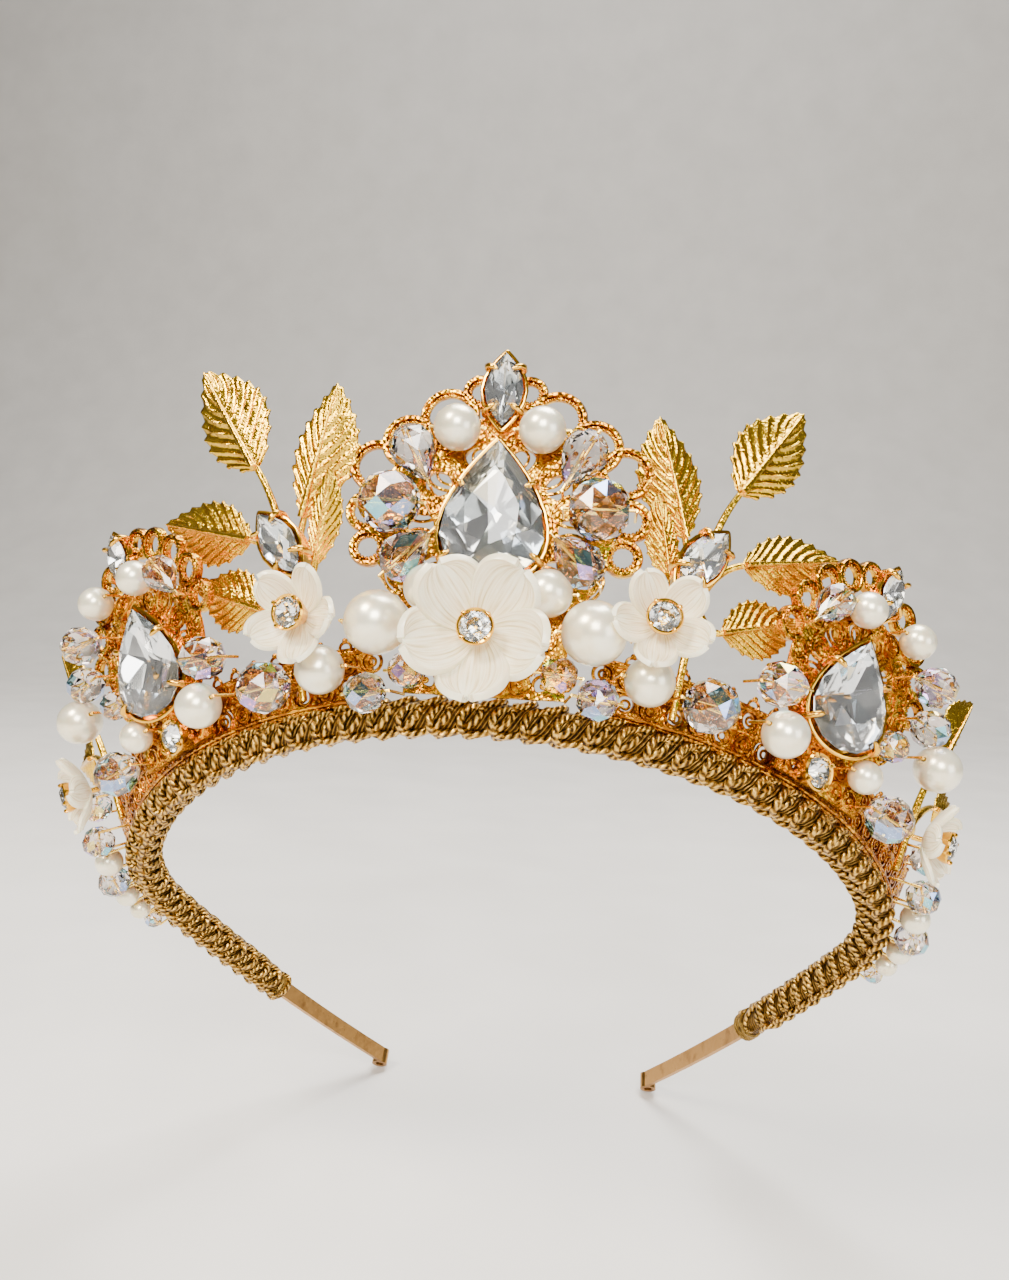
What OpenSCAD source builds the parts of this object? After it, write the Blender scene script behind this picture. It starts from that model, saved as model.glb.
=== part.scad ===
// Bridal tiara: a braided headband carrying stamped filigree fans, gilt leaf
// sprays, set stones, carved shell flowers, pearls and cut glass beads.
// It stands as worn: +Z up, forehead towards -Y, origin at the centre of the band's front arc.

/* [Band] */
// Radius of the front arc of the band
front_r = 60; // [56:1:64]
// Half angle of the front arc
front_half = 67; // [62:1:70]
// Radius of the arcs over the temples
side_r = 30; // [26:1:36]
// Angle of each temple arc
side_arc = 43; // [38:1:48]
// Radius of the nearly straight arcs behind the ears
rear_r = 400; // [300:10:500]
// Angle of each rear arc
rear_arc = 9.5; // [7:0.5:10]
// Width of the brass strip
strip_w = 3; // [2.4:0.2:4]
// Thickness of the brass strip
strip_t = 0.8; // [0.6:0.1:1]
// Outer radius of the curled loop at each end of the strip
curl_r = 1.6; // [1.4:0.1:2]
// Radius of the hole through that loop
curl_hole_r = 0.8; // [0.6:0.1:0.9]
// Tilt of the band, down towards the back of the head
ring_tilt = 45; // [35:1:55]

/* [Braid] */
// Diameter of the gimp braid that sleeves the strip
braid_d = 5; // [4.4:0.2:5.6]
// Heading at which the braid stops on each side
braid_end = 114.5; // [112:0.5:115]

/* [Flare] */
// Outward lean of the trim at the forehead, from the band's normal
flare_front = 31; // [25:1:36]
// How much more the left side leans out, and the right side less
flare_skew = 4; // [0:1:6]
// Heading at which that difference is reached
flare_turn = 15; // [10:1:20]

/* [Filigree] */
// Thickness of the stamped plates
plate_t = 0.8; // [0.6:0.1:1]
// Height of the plates' lower edge above the band
plate_foot = 2.4; // [2.3:0.1:3]
// Stand-off of the centre plate in front of the band
plate_off = 1.4; // [1.2:0.1:1.6]
// Stand-off of the side plates in front of the band
side_plate_off = 2.6; // [2.4:0.1:3]
// Height of the lace strip
lace_h = 7; // [5:1:8]
// Thickness of the lace strip
lace_t = 0.6; // [0.4:0.1:0.8]

/* [Stones] */
// Width and length of the centre pear stone
pear_w = 13; // [12:1:14]
pear_l = 18; // [17:1:19]
// Width and length of the side pear stones
side_pear_w = 10; // [9:1:10]
side_pear_l = 14; // [13:1:14]
// Width and length of the navettes over the centre and in the sprays
navette_w = 5; // [4.5:0.5:5.5]
navette_l = 10; // [9:0.5:10.5]
// Width and length of the navettes on the side fans
small_navette_w = 4; // [3.5:0.5:4]
small_navette_l = 8; // [7:0.5:8]
// Diameter of the round stones in the flowers and beside the pears
chaton_d = 3.6; // [3.2:0.2:4]

/* [Flowers] */
// Diameter of the centre flower
flower_d = 17; // [15:1:18]
// Diameter of the side flowers
side_flower_d = 12; // [11:1:13]
// Diameter of the outer flowers
outer_flower_d = 11; // [10:1:12]
// Thickness of the carved shell
shell_t = 0.9; // [0.7:0.1:1.1]

/* [Leaves] */
// Length of a full leaf blade
leaf_l = 16; // [14:1:17]
// Width of a full leaf blade
leaf_w = 8; // [7:0.5:8.5]
// Thickness of the stamped leaves
leaf_t = 0.5; // [0.4:0.1:0.7]
// Teeth along each edge of a leaf
leaf_teeth = 9; // [6:1:11]
// Fold of each half of a leaf, back from its midrib
leaf_fold = 14; // [8:1:20]

/* [Beads] */
// Diameter of the thread holes
thread_d = 0.9; // [0.7:0.1:1]
// Diameter of the binding wire
wire_d = 0.4; // [0.3:0.1:0.5]

/* [Hidden] */
$fn = 48;

gold = "goldenrod";
old_gold = "darkgoldenrod";
brass = "peru";
clear = "lightcyan";
blush = "mistyrose";
ivory = "ivory";

sides = [-1, 1];
side_end = front_half + side_arc;
tip_heading = side_end + rear_arc;
side_c = (front_r - side_r) * heading_dir(front_half);
rear_c = side_c + (side_r - rear_r) * heading_dir(side_end);

// Stations: the headings at which the flat pieces stand on the band
spray_at = 23;
fan_at = 42;
outer_at = 60;
lace_from = 13;
lace_to = 106;

// Lap of the temple arcs over their neighbours, in degrees
arc_lap = 0.4;

// Round facets of turned beads
bead_fn = 32;

// ---- the band's curve and the places on it ----

// Outward direction in the band's plane at heading a, 0 at the forehead
function heading_dir(a) = [sin(a), -cos(a)];

// Point on the band's centre line at heading a from 0 to tip_heading
function half_band(a) = a <= front_half ? front_r * heading_dir(a)
    : a <= side_end ? side_c + side_r * heading_dir(a)
    : rear_c + rear_r * heading_dir(a);

// The same for both sides, negative headings on the left
function band_at(a) = let (p = half_band(abs(a))) [a < 0 ? -p.x : p.x, p.y, 0];

// Outward lean of the trim at heading a
function flare_at(a) = flare_front - flare_skew * max(-1, min(1, a / flare_turn));

// Stands the band as it is worn
module worn() rotate([-ring_tilt, 0, 0]) children();

// Mirrors children drawn for the right side when s is the left, -1
module sided(s) {
    if (s < 0) mirror([1, 0, 0]) children();
    else children();
}

// Local frame on side s at heading a: X along the band, Y up the trim, Z outward
module station(a, s = 1) worn() translate(band_at(s * a)) rotate([0, 0, s * a])
    rotate([90 + flare_at(s * a), 0, 0]) sided(s) children();

// Sweeps a profile along one arc of the band's plane
module arc_run(centre, r, a0, a1) translate(centre)
    rotate_extrude(angle = a1 - a0, start = a0 - 90, $fn = 180) translate([r, 0]) children();

// Sweeps a profile along the right half of the band between two headings; the temple arc
// laps its neighbours by a hair, so that the sweep is one solid
module half_run(a0, a1, lap = arc_lap) {
    if (a0 < front_half) arc_run([0, 0], front_r, a0, min(a1, front_half)) children();
    if (a0 < side_end && a1 > front_half)
        arc_run(side_c, side_r, max(a0, front_half) - lap, min(a1 + lap, side_end) + lap) children();
    if (a1 > side_end) arc_run(rear_c, rear_r, max(a0, side_end), a1) children();
}

// Sweeps a profile along the whole band out to heading a on both sides
module full_run(a) {
    arc_run([0, 0], front_r, -front_half, front_half) children();
    for (s = sides) sided(s) half_run(front_half, a) children();
}

// ---- the band ----

module headband() color(brass) worn() difference() {
    union() {
        full_run(tip_heading) square([strip_t, strip_w], center = true);
        for (s = sides) curl_at(s) cylinder(r = curl_r, h = strip_w, center = true);
    }
    for (s = sides) curl_at(s) cylinder(r = curl_hole_r, h = 2 * strip_w, center = true);
}

// Axis of the curled loop at the end of side s
module curl_at(s) translate(band_at(s * tip_heading)) rotate([0, 0, s * tip_heading])
    translate([s * 1, -1, 0]) children();

module braid_trim() color(old_gold) worn() full_run(braid_end) difference() {
    circle(d = braid_d, $fn = 12);
    square([strip_t + 0.1, strip_w + 0.1], center = true);
}

// ---- filigree ----

// Pierced strip that stands on the braid round one side
module lace_strip(s) {
    lean = flare_at(s * fan_at);
    color(gold) worn() sided(s) difference() {
        half_run(lace_from, lace_to) rotate(-lean)
            translate([0.6, plate_foot]) square([lace_t, lace_h]);
        for (a = [lace_from + 3 : 6 : lace_to - 3], row = [0, 1]) if (abs(a + 3 * row - front_half) > 2)
            lace_hole(a + 3 * row, lean, row);
    }
}

module lace_hole(a, lean, row) translate(band_at(a)) rotate([0, 0, a]) rotate([90 + lean, 0, 0])
    translate([0, plate_foot + 2 + 3 * row, -1]) cylinder(r = a > front_half ? 0.7 : 1.1, h = 4);

// Open loop of a scalloped edge
module loop(p, r) translate(p) circle(r = r);

// Pierced fan plate: a round field, a foot, edge loops and a lattice of holes
module fan_plate(field_r, field_y, foot_w, loops, off) translate([0, 0, off]) linear_extrude(plate_t)
    difference() {
        union() {
            translate([0, field_y]) circle(r = field_r);
            translate([-foot_w / 2, plate_foot]) square([foot_w, field_y - plate_foot]);
            for (l = loops, s = sides) loop([s * l.x, l.y], l.z);
        }
        for (l = loops, s = sides) loop([s * l.x, l.y], l.z - 1.1);
        for (ring = [[0.34, 5], [0.64, 10]], i = [1 : ring.y]) rotate_about(field_y, 360 / ring.y * i)
            translate([field_r * ring.x, 0]) circle(r = 0.11 * field_r);
        for (x = [-foot_w / 3, 0, foot_w / 3]) translate([x, plate_foot + 2.2]) circle(r = 1.2);
    }

module rotate_about(y, a) translate([0, y]) rotate(a) children();

// Loops as [x, y, radius] for the right half of each fan
centre_loops = [[3.2, 42.4, 2.4], [7, 38.9, 3.9], [11.9, 35.2, 3.8], [16, 31.8, 3.6],
    [16.8, 25.6, 2.8], [16.2, 20.8, 2.5]];
side_loops = [[2.4, 34, 2.3], [6, 32, 2.5], [9.6, 29, 2.5], [12, 25, 2.5], [13, 20.6, 2.4]];

module filigree_centre() color(gold) station(0) fan_plate(15, 24, 20, centre_loops, plate_off);

module filigree_side(s) color(gold) station(fan_at, s)
    fan_plate(11.5, 18, 16, side_loops, side_plate_off);

// ---- stones and settings ----

// Pear outline with its point up, centred on its own length
function pear_pts(w, l, n = 32) = [for (i = [0 : n - 1]) let (t = 360 * i / n)
    [0.65 * w * sin(t) * sin(t / 2), l / 2 * cos(t)]];

// Navette outline, pointed at both ends
function navette_pts(w, l, n = 32) = [for (i = [0 : n - 1]) let (t = 360 * i / n)
    [w / 2 * sin(t) * abs(sin(t)), l / 2 * cos(t)]];

module outline(kind, w, l) {
    if (kind == "pear") polygon(pear_pts(w, l));
    else polygon(navette_pts(w, l));
}

// Cut stone: table, girdle and pointed back, girdle at z = 0
module cut_stone(kind, w, l, depth) hull() {
    translate([0, 0, depth * 0.35]) linear_extrude(0.05) outline(kind, w * 0.62, l * 0.62);
    linear_extrude(0.3, center = true) outline(kind, w, l);
    translate([0, 0, -depth * 0.5]) linear_extrude(0.05) outline(kind, w * 0.3, l * 0.3);
}

// Cup with a floor, a low wall and claws, its rim at z = 0; claws are [x, y] on the edge
module cup_setting(kind, w, l, depth, claws) {
    translate([0, 0, -depth]) difference() {
        linear_extrude(depth) outline(kind, w + 1.4, l + 1.8);
        translate([0, 0, 0.5]) linear_extrude(depth) outline(kind, w + 0.3, l + 0.4);
    }
    for (c = claws, s = sides) translate([s * c.x, c.y, 0]) {
        translate([0, 0, -depth]) cylinder(d = 0.9, h = depth + 0.7, $fn = 24);
        translate([0, 0, 0.7]) sphere(d = 1.1, $fn = 24);
    }
}

// Places of the stones in their stations, as [x, y, girdle z]
pear_place = [0, 25.2, 6];
side_pear_place = [-2.2, 15.6, 6.2];
top_navette_place = [0, 42, 4.2];
side_navette_place = [1, 33, 5];
spray_navette_place = [-4.2, 23, 7.4];
spray_navette_turn = -28;
pear_depth = 4;
side_pear_depth = 3.4;
navette_depth = 2.2;

pear_claws = [[pear_w * 0.45, -pear_l * 0.34], [pear_w * 0.36, pear_l * 0.18]];
side_pear_claws = [[side_pear_w * 0.46, -side_pear_l * 0.34], [side_pear_w * 0.37, side_pear_l * 0.18]];
navette_claws = [[navette_w * 0.4, navette_l * 0.28], [navette_w * 0.4, -navette_l * 0.28]];
small_claws = [[small_navette_w * 0.42, small_navette_l * 0.28],
    [small_navette_w * 0.42, -small_navette_l * 0.28]];

module pear_stone_centre() color(clear) station(0) translate(pear_place)
    cut_stone("pear", pear_w, pear_l, pear_depth * 1.6);

module pear_setting_centre() color(gold) station(0) translate(pear_place - [0, 0, 0.4])
    cup_setting("pear", pear_w, pear_l, pear_depth - 0.2, pear_claws);

module pear_stone_side(s) color(clear) station(fan_at, s) translate(side_pear_place)
    cut_stone("pear", side_pear_w, side_pear_l, side_pear_depth * 1.5);

module pear_setting_side(s) color(gold) station(fan_at, s) translate(side_pear_place - [0, 0, 0.4])
    cup_setting("pear", side_pear_w, side_pear_l, side_pear_depth - 0.6, side_pear_claws);

module top_navette_stone_centre() color(clear) station(0) translate(top_navette_place)
    cut_stone("navette", navette_w, navette_l, 3);

module top_navette_setting_centre() color(gold) station(0) translate(top_navette_place - [0, 0, 0.3])
    cup_setting("navette", navette_w, navette_l, navette_depth - 0.5, navette_claws);

module top_navette_stone_side(s) color(clear) station(fan_at, s) translate(side_navette_place)
    cut_stone("navette", small_navette_w, small_navette_l, 2.6);

module top_navette_setting_side(s) color(gold) station(fan_at, s)
    translate(side_navette_place - [0, 0, 0.3])
    cup_setting("navette", small_navette_w, small_navette_l, navette_depth - 0.5, small_claws);

module spray_navette_at(s) station(spray_at, s) translate(spray_navette_place)
    rotate([0, 0, spray_navette_turn]) children();

module spray_navette_stone(s) color(clear) spray_navette_at(s)
    cut_stone("navette", navette_w, navette_l, 3);

module spray_navette_setting(s) color(gold) spray_navette_at(s) translate([0, 0, -0.3]) {
    cup_setting("navette", navette_w, navette_l, navette_depth, navette_claws);
    translate([0, 0, -4.6]) cylinder(d = 1, h = 4.6 - navette_depth);
}

// Round stone with a flat table, girdle at z = 0
module chaton(d) rotate_extrude($fn = bead_fn)
    polygon([[0, -0.45 * d], [0.5 * d, 0], [0.5 * d, 0.08 * d], [0.3 * d, 0.25 * d], [0, 0.25 * d]]);

// Turned cup under a round stone, with a post of length post behind it
module chaton_cup(d, post) {
    rotate_extrude($fn = bead_fn) polygon([[0, -0.7 * d], [0.35 * d, -0.7 * d], [0.62 * d, -0.1 * d],
        [0.62 * d, 0.12 * d], [0.53 * d, 0.12 * d], [0.53 * d, -0.1 * d], [0, -0.56 * d]]);
    translate([0, 0, -0.65 * d - post]) cylinder(d = 0.8, h = post, $fn = 24);
}

// ---- flowers ----

// Places of the flowers in their stations, as [x, y, z], and the outer ones' outward turn
flower_place = [-0.3, 9, 9];
side_flower_place = [-7.7, 12.8, 8.4];
outer_flower_place = [-3, 5.5, 8];
outer_flower_pitch = 12;

module flower_centre_at() station(0) translate(flower_place) children();

module side_flower_at(s) station(spray_at, s) translate(side_flower_place) children();

module outer_flower_at(s) station(outer_at, s) translate(outer_flower_place)
    rotate([0, outer_flower_pitch, 0]) children();

// Five-petalled flower carved from a bowl of shell, one petal pointing down
module carved_flower(d) {
    bowl_r = 0.62 * d;
    difference() {
        intersection() {
            translate([0, 0, bowl_r]) sphere(r = bowl_r, $fn = 96);
            linear_extrude(0.6 * d, center = true) union() {
                circle(d = 0.36 * d);
                for (i = [0 : 4]) rotate(72 * i) translate([0, -0.272 * d]) circle(d = 0.455 * d);
            }
            translate([-d, -d, -1]) cube([2 * d, 2 * d, 0.24 * d + 1]);
        }
        translate([0, 0, bowl_r + shell_t]) sphere(r = bowl_r, $fn = 96);
        cylinder(d = 1, h = 4 * shell_t, center = true, $fn = 24);
    }
}

module flower_centre() color(ivory) flower_centre_at() carved_flower(flower_d);

module flower_side(s) color(ivory) side_flower_at(s) carved_flower(side_flower_d);

module outer_flower(s) color(ivory) outer_flower_at(s) carved_flower(outer_flower_d);

// Runs children at the heart of every flower
module each_flower_heart() {
    lift = shell_t + 0.7 * chaton_d;
    flower_centre_at() translate([0, 0, lift]) children();
    for (s = sides) side_flower_at(s) translate([0, 0, lift]) children();
    for (s = sides) outer_flower_at(s) translate([0, 0, lift]) children();
}

module flower_stones() color(clear) each_flower_heart() chaton(chaton_d);

module flower_cups() color(brass) each_flower_heart() chaton_cup(chaton_d, 6);

// Places of the round stones below the side pears
side_chaton_place = [-3.8, 3.8, 6];

module side_chaton_stones() color(clear)
    for (s = sides) station(fan_at, s) translate(side_chaton_place) chaton(chaton_d + 0.4);

module side_chaton_cups() color(gold)
    for (s = sides) station(fan_at, s) translate(side_chaton_place) chaton_cup(chaton_d + 0.4, 0.8);

// ---- leaves ----

// Half width of a leaf of width w at s from 0 at the stalk to 1 at the tip
function leaf_half(s, w) = w / 2 * sin(180 * pow(s, 0.85));

// Toothed outline of a leaf's right half, from its stalk at the origin up to [0, l]
function half_leaf_pts(w, l, n) = concat([[0, 0]],
    [for (k = [0 : n - 1], e = [0, 1]) let (s = (k + 0.1 + e * 0.8) / n)
        [leaf_half(s, w) + 0.3 * e, s * l]],
    [[0, l]]);

// Stamped blade folded along its midrib, its edges bent back, its stalk at the origin
module leaf_blade(w, l) for (h = sides) sided(h) rotate([0, leaf_fold, 0])
    translate([0, 0, -leaf_t]) linear_extrude(leaf_t) polygon(half_leaf_pts(w, l, leaf_teeth));

// Eight-sided rod between two points
module rod(p, q, d) translate(p) let (v = q - p)
    rotate([0, acos(v.z / norm(v)), atan2(v.y, v.x)]) cylinder(d = d, h = norm(v), $fn = 8);

// Leaf on a stem: blade from foot, turned from the station's Y and tipped back, stem to the hub
module leaf(foot, turn, tip_back, w, l, hub) {
    translate(foot) rotate([0, 0, turn]) rotate([-tip_back, 0, 0]) {
        leaf_blade(w, l);
        rod([0, -0.6, -0.2], [0, 0.8 * l, -0.2], 0.8);
    }
    rod(hub, foot + [0, 0, -0.2] + 0.6 * (foot - hub) / norm(foot - hub), 1);
}

// Each leaf of a spray: [foot, turn, tip back, width factor, length factor]
spray_hub = [-1.9, 19, 2.2];
spray_leaves = [
    [[0.4, 35.4, 3.4], -25, 4, 1.08, 1.06],
    [[-5.4, 27, 2.6], 25, 0, 0.95, 1.02],
    [[3.4, 26.4, 2.4], -66, 8, 0.9, 1],
    [[2, 16.2, 3.2], -63, 10, 0.85, 0.8],
    [[-6.2, 20.2, 2.8], 23, -6, 0.5, 0.72]];

module leaf_spray(s) color(gold) station(spray_at, s) {
    for (f = spray_leaves) leaf(f[0], f[1], f[2], leaf_w * f[3], leaf_l * f[4], spray_hub);
    translate(spray_hub) cylinder(d = 3, h = 1.4, center = true, $fn = 12);
    rod(spray_hub, [-1.9, 3.4, 2.6], 1.2);
}

outer_hub = [4, 10, 2.6];
outer_leaf_list = [
    [[5.4, 23, 3], -24, 4, 0.8, 1],
    [[10, 17, 2.6], -70, 6, 0.8, 0.8]];

module outer_leaves(s) color(gold) station(outer_at, s) {
    for (f = outer_leaf_list) leaf(f[0], f[1], f[2], leaf_w * f[3], leaf_l * f[4], outer_hub);
    translate(outer_hub) cylinder(d = 3, h = 1.4, center = true, $fn = 12);
    rod(outer_hub, [4, 3.2, 2.8], 1.2);
}

// ---- beads ----

module thread_hole(d) rotate([0, 90, 0]) cylinder(d = thread_d, h = 2 * d, center = true, $fn = 24);

module pearl(d) difference() {
    sphere(d = d);
    thread_hole(d);
}

// Cut round bead: a turned barrel with eight slopes
module crystal(d) difference() {
    rotate([0, 90, 0]) rotate_extrude($fn = bead_fn) polygon([for (t = [-90 : 22.5 : 90])
        d / 2 * [max(0, cos(t)), sin(t)]]);
    thread_hole(d);
}

// Cut drop bead with its narrow end up, drilled along its length
module drop(w, l) difference() {
    rotate([-90, 0, 0]) rotate_extrude($fn = bead_fn) polygon([for (i = [0 : 16])
        let (t = 180 * i / 16) [0.65 * w * sin(t) * sin(t / 2), l / 2 * cos(t)]]);
    rotate([90, 0, 0]) cylinder(d = thread_d, h = 2 * l, center = true, $fn = 24);
}

// Beads as [x, y, z, diameter] in their stations; drops add width, length and turn
fan_pearl_list = [[5.4, 36, 5.6, 6], [7.4, 15, 5.6, 6]];
fan_drop_list = [[10.4, 32.2, 5.6, 6, 8, 152], [10.4, 19.4, 5.6, 6, 8, 45]];
fan_round_list = [[13, 25.6, 6.4, 8]];
large_pearl_list = [[13.2, 10.2, 6.4, 8]];
side_pearl_list = [[-3.8, 27.5, 6.2, 5], [6.8, 28.6, 6.2, 5], [-11.2, 5.3, 6.4, 6],
    [4.6, 7, 6, 4.5], [17.2, 14.2, 6.4, 6.5]];
side_drop_list = [[-10.3, 24.4, 6.2, 5, 7, 150], [11.4, 24.2, 6.6, 6, 7, 100],
    [-13.4, 11, 6.4, 6, 8, -70]];
side_crystal_list = [[13.6, 18.6, 6.4, 5.5], [8.2, 13.2, 5.8, 4.5], [10.6, 3.8, 6.4, 6.5]];

// Beads along the band as [heading, height, stand-off, diameter]
base_crystal_list = [[7.9, 5.4, 5, 4.8], [12, 2.8, 6.6, 5.2], [24, 5.6, 6.4, 7]];
base_pearl_list = [[17.1, 6.4, 6.2, 6.2]];
tail_pearl_list = [[80, 2.4, 5, 4.4], [96, 1.8, 4.9, 3.8], [103, 1.4, 4.8, 3.4]];
tail_crystal_list = [[70, 3, 6, 5], [68, 8.4, 5, 5], [88, 1.8, 5.4, 5.2], [109, 1.2, 4.6, 3]];

module beads_in(a, s, list) station(a, s)
    for (b = list) translate([b.x, b.y, b.z]) pearl(b[3]);

module crystals_in(a, s, list) station(a, s)
    for (b = list) translate([b.x, b.y, b.z]) crystal(b[3]);

module drops_in(a, s, list) station(a, s)
    for (b = list) translate([b.x, b.y, b.z]) rotate([0, 0, b[5]]) drop(b[3], b[4]);

module each_along(s, list) for (b = list)
    station(b.x, s) translate([0, b.y, b.z]) bead_of(b[3]) children();

// Passes a bead's diameter to its children as $bead
module bead_of(d) {
    $bead = d;
    children();
}

module large_pearls() color(ivory) for (s = sides) beads_in(0, s, large_pearl_list);

module fan_pearls_centre() color(ivory) for (s = sides) beads_in(0, s, fan_pearl_list);

module fan_drops_centre() color(blush) for (s = sides) drops_in(0, s, fan_drop_list);

module fan_rounds_centre() color(blush) for (s = sides) crystals_in(0, s, fan_round_list);

module base_crystals() color(blush) for (s = sides) each_along(s, base_crystal_list) crystal($bead);

module base_pearls() color(ivory) for (s = sides) each_along(s, base_pearl_list) pearl($bead);

module side_pearls(s) color(ivory) beads_in(fan_at, s, side_pearl_list);

module side_drops(s) color(blush) drops_in(fan_at, s, side_drop_list);

module side_crystals(s) color(blush) crystals_in(fan_at, s, side_crystal_list);

module tail_pearls(s) color(ivory) each_along(s, tail_pearl_list) pearl($bead);

module tail_crystals(s) color(blush) each_along(s, tail_crystal_list) crystal($bead);

// ---- binding wires ----

// Wire staple through a bead of length d at height z, its legs reaching down to floor_z
module staple(d, z, floor_z) {
    arm = d / 2 + 0.5;
    rotate([0, 90, 0]) cylinder(d = wire_d, h = 2 * arm, center = true, $fn = 16);
    for (s = sides) translate([s * arm, 0, floor_z - z]) cylinder(d = wire_d, h = z - floor_z, $fn = 16);
}

module staples_in(a, s, list, floor_z) station(a, s)
    for (b = list) translate([b.x, b.y, b.z]) staple(b[3], b.z, floor_z);

module drop_staples_in(a, s, list, floor_z) station(a, s)
    for (b = list) translate([b.x, b.y, b.z]) rotate([0, 0, b[5] + 90]) staple(b[4], b.z, floor_z);

module wires_centre() color(gold) for (s = sides) {
    staples_in(0, s, concat(fan_pearl_list, fan_round_list, large_pearl_list), plate_off + plate_t);
    drop_staples_in(0, s, fan_drop_list, plate_off + plate_t);
}

module wires_side(s) color(gold) {
    staples_in(fan_at, s, concat(side_pearl_list, side_crystal_list), side_plate_off + plate_t);
    drop_staples_in(fan_at, s, side_drop_list, side_plate_off + plate_t);
}

module base_wires() color(gold) for (s = sides, list = [base_crystal_list, base_pearl_list,
    tail_pearl_list, tail_crystal_list], b = list)
    station(b.x, s) translate([0, b.y, b.z]) staple(b[3], b.z, 1.6);

// ---- nodes ----

headband();
braid_trim();
lace_strip(-1);  // lace_strip_left
lace_strip(1);  // lace_strip_right
filigree_centre();
filigree_side(-1);  // filigree_left
filigree_side(1);  // filigree_right
pear_stone_centre();
pear_stone_side(-1);  // pear_stone_left
pear_stone_side(1);  // pear_stone_right
pear_setting_centre();
pear_setting_side(-1);  // pear_setting_left
pear_setting_side(1);  // pear_setting_right
top_navette_stone_centre();
top_navette_stone_side(-1);  // top_navette_stone_left
top_navette_stone_side(1);  // top_navette_stone_right
top_navette_setting_centre();
top_navette_setting_side(-1);  // top_navette_setting_left
top_navette_setting_side(1);  // top_navette_setting_right
spray_navette_stone(-1);  // spray_navette_stone_left
spray_navette_stone(1);  // spray_navette_stone_right
spray_navette_setting(-1);  // spray_navette_setting_left
spray_navette_setting(1);  // spray_navette_setting_right
flower_centre();
flower_side(-1);  // flower_left
flower_side(1);  // flower_right
outer_flower(-1);  // outer_flower_left
outer_flower(1);  // outer_flower_right
flower_stones();
flower_cups();
side_chaton_stones();
side_chaton_cups();
leaf_spray(-1);  // leaf_spray_left
leaf_spray(1);  // leaf_spray_right
outer_leaves(-1);  // outer_leaves_left
outer_leaves(1);  // outer_leaves_right
large_pearls();
fan_pearls_centre();
fan_drops_centre();
fan_rounds_centre();
base_crystals();
base_pearls();
side_pearls(-1);  // side_pearls_left
side_pearls(1);  // side_pearls_right
side_drops(-1);  // side_drops_left
side_drops(1);  // side_drops_right
side_crystals(-1);  // side_crystals_left
side_crystals(1);  // side_crystals_right
tail_pearls(-1);  // tail_pearls_left
tail_pearls(1);  // tail_pearls_right
tail_crystals(-1);  // tail_crystals_left
tail_crystals(1);  // tail_crystals_right
wires_centre();
wires_side(-1);  // wires_left
wires_side(1);  // wires_right
base_wires();
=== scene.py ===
"""Bridal tiara: the looks of a braided headband with gilt fans, leaves, stones, shell and beads.

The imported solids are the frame. Every class below models one kind of piece in millimetres,
places copies of it at the stations along the band, and dresses them in procedural finishes.
"""
import logging
import math
import random
from dataclasses import dataclass, field
from enum import Enum
from typing import Callable, Iterable, Optional, Sequence

import bmesh
import bpy
from mathutils import Matrix, Vector


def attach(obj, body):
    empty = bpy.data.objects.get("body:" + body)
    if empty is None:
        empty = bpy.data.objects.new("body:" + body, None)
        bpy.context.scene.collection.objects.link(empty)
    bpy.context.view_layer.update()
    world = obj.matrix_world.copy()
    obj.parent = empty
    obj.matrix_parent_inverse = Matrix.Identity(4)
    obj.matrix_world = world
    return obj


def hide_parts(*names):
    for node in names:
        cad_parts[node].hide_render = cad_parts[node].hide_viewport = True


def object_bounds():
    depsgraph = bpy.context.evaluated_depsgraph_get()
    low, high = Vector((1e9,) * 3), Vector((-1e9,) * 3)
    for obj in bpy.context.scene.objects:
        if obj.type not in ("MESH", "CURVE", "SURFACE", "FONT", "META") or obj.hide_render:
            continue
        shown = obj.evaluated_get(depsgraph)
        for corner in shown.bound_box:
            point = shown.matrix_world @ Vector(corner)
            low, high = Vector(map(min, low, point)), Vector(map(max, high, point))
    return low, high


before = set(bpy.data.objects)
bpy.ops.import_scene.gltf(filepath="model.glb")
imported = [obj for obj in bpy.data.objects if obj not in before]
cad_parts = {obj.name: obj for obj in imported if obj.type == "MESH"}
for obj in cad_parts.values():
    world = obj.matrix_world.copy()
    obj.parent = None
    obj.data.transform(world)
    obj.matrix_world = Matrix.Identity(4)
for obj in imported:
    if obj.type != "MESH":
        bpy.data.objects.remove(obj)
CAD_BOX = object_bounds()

LOG = logging.getLogger("tiara")
MM = 0.001
BODY = "root"
SIDES = (-1, 1)
Shape = bpy.types.Object
Tree = bpy.types.NodeTree
Socket = bpy.types.NodeSocket
Part = tuple[Shape, Matrix]


class Side(Enum):
    """The two sides of the head, with their sign along X."""

    LEFT = -1
    RIGHT = 1


class Outline(Enum):
    """Plan shape of a cut stone."""

    PEAR = "pear"
    NAVETTE = "navette"
    ROUND = "round"

    def point(self, angle: float, width: float, length: float) -> tuple[float, float]:
        """Gives a point of the outline.

        Args:
            angle: turn from the top point, in radians.
            width: full width in mm.
            length: full length in mm.

        Returns:
            The point's x and y in mm.
        """
        lean, lift = math.sin(angle), math.cos(angle)
        if self is Outline.PEAR:
            return 0.65 * width * lean * abs(math.sin(angle / 2)), length / 2 * lift
        if self is Outline.NAVETTE:
            return width / 2 * lean * abs(lean), length / 2 * lift
        return width / 2 * lean, length / 2 * lift


# ---- the band's curve ----


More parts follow.
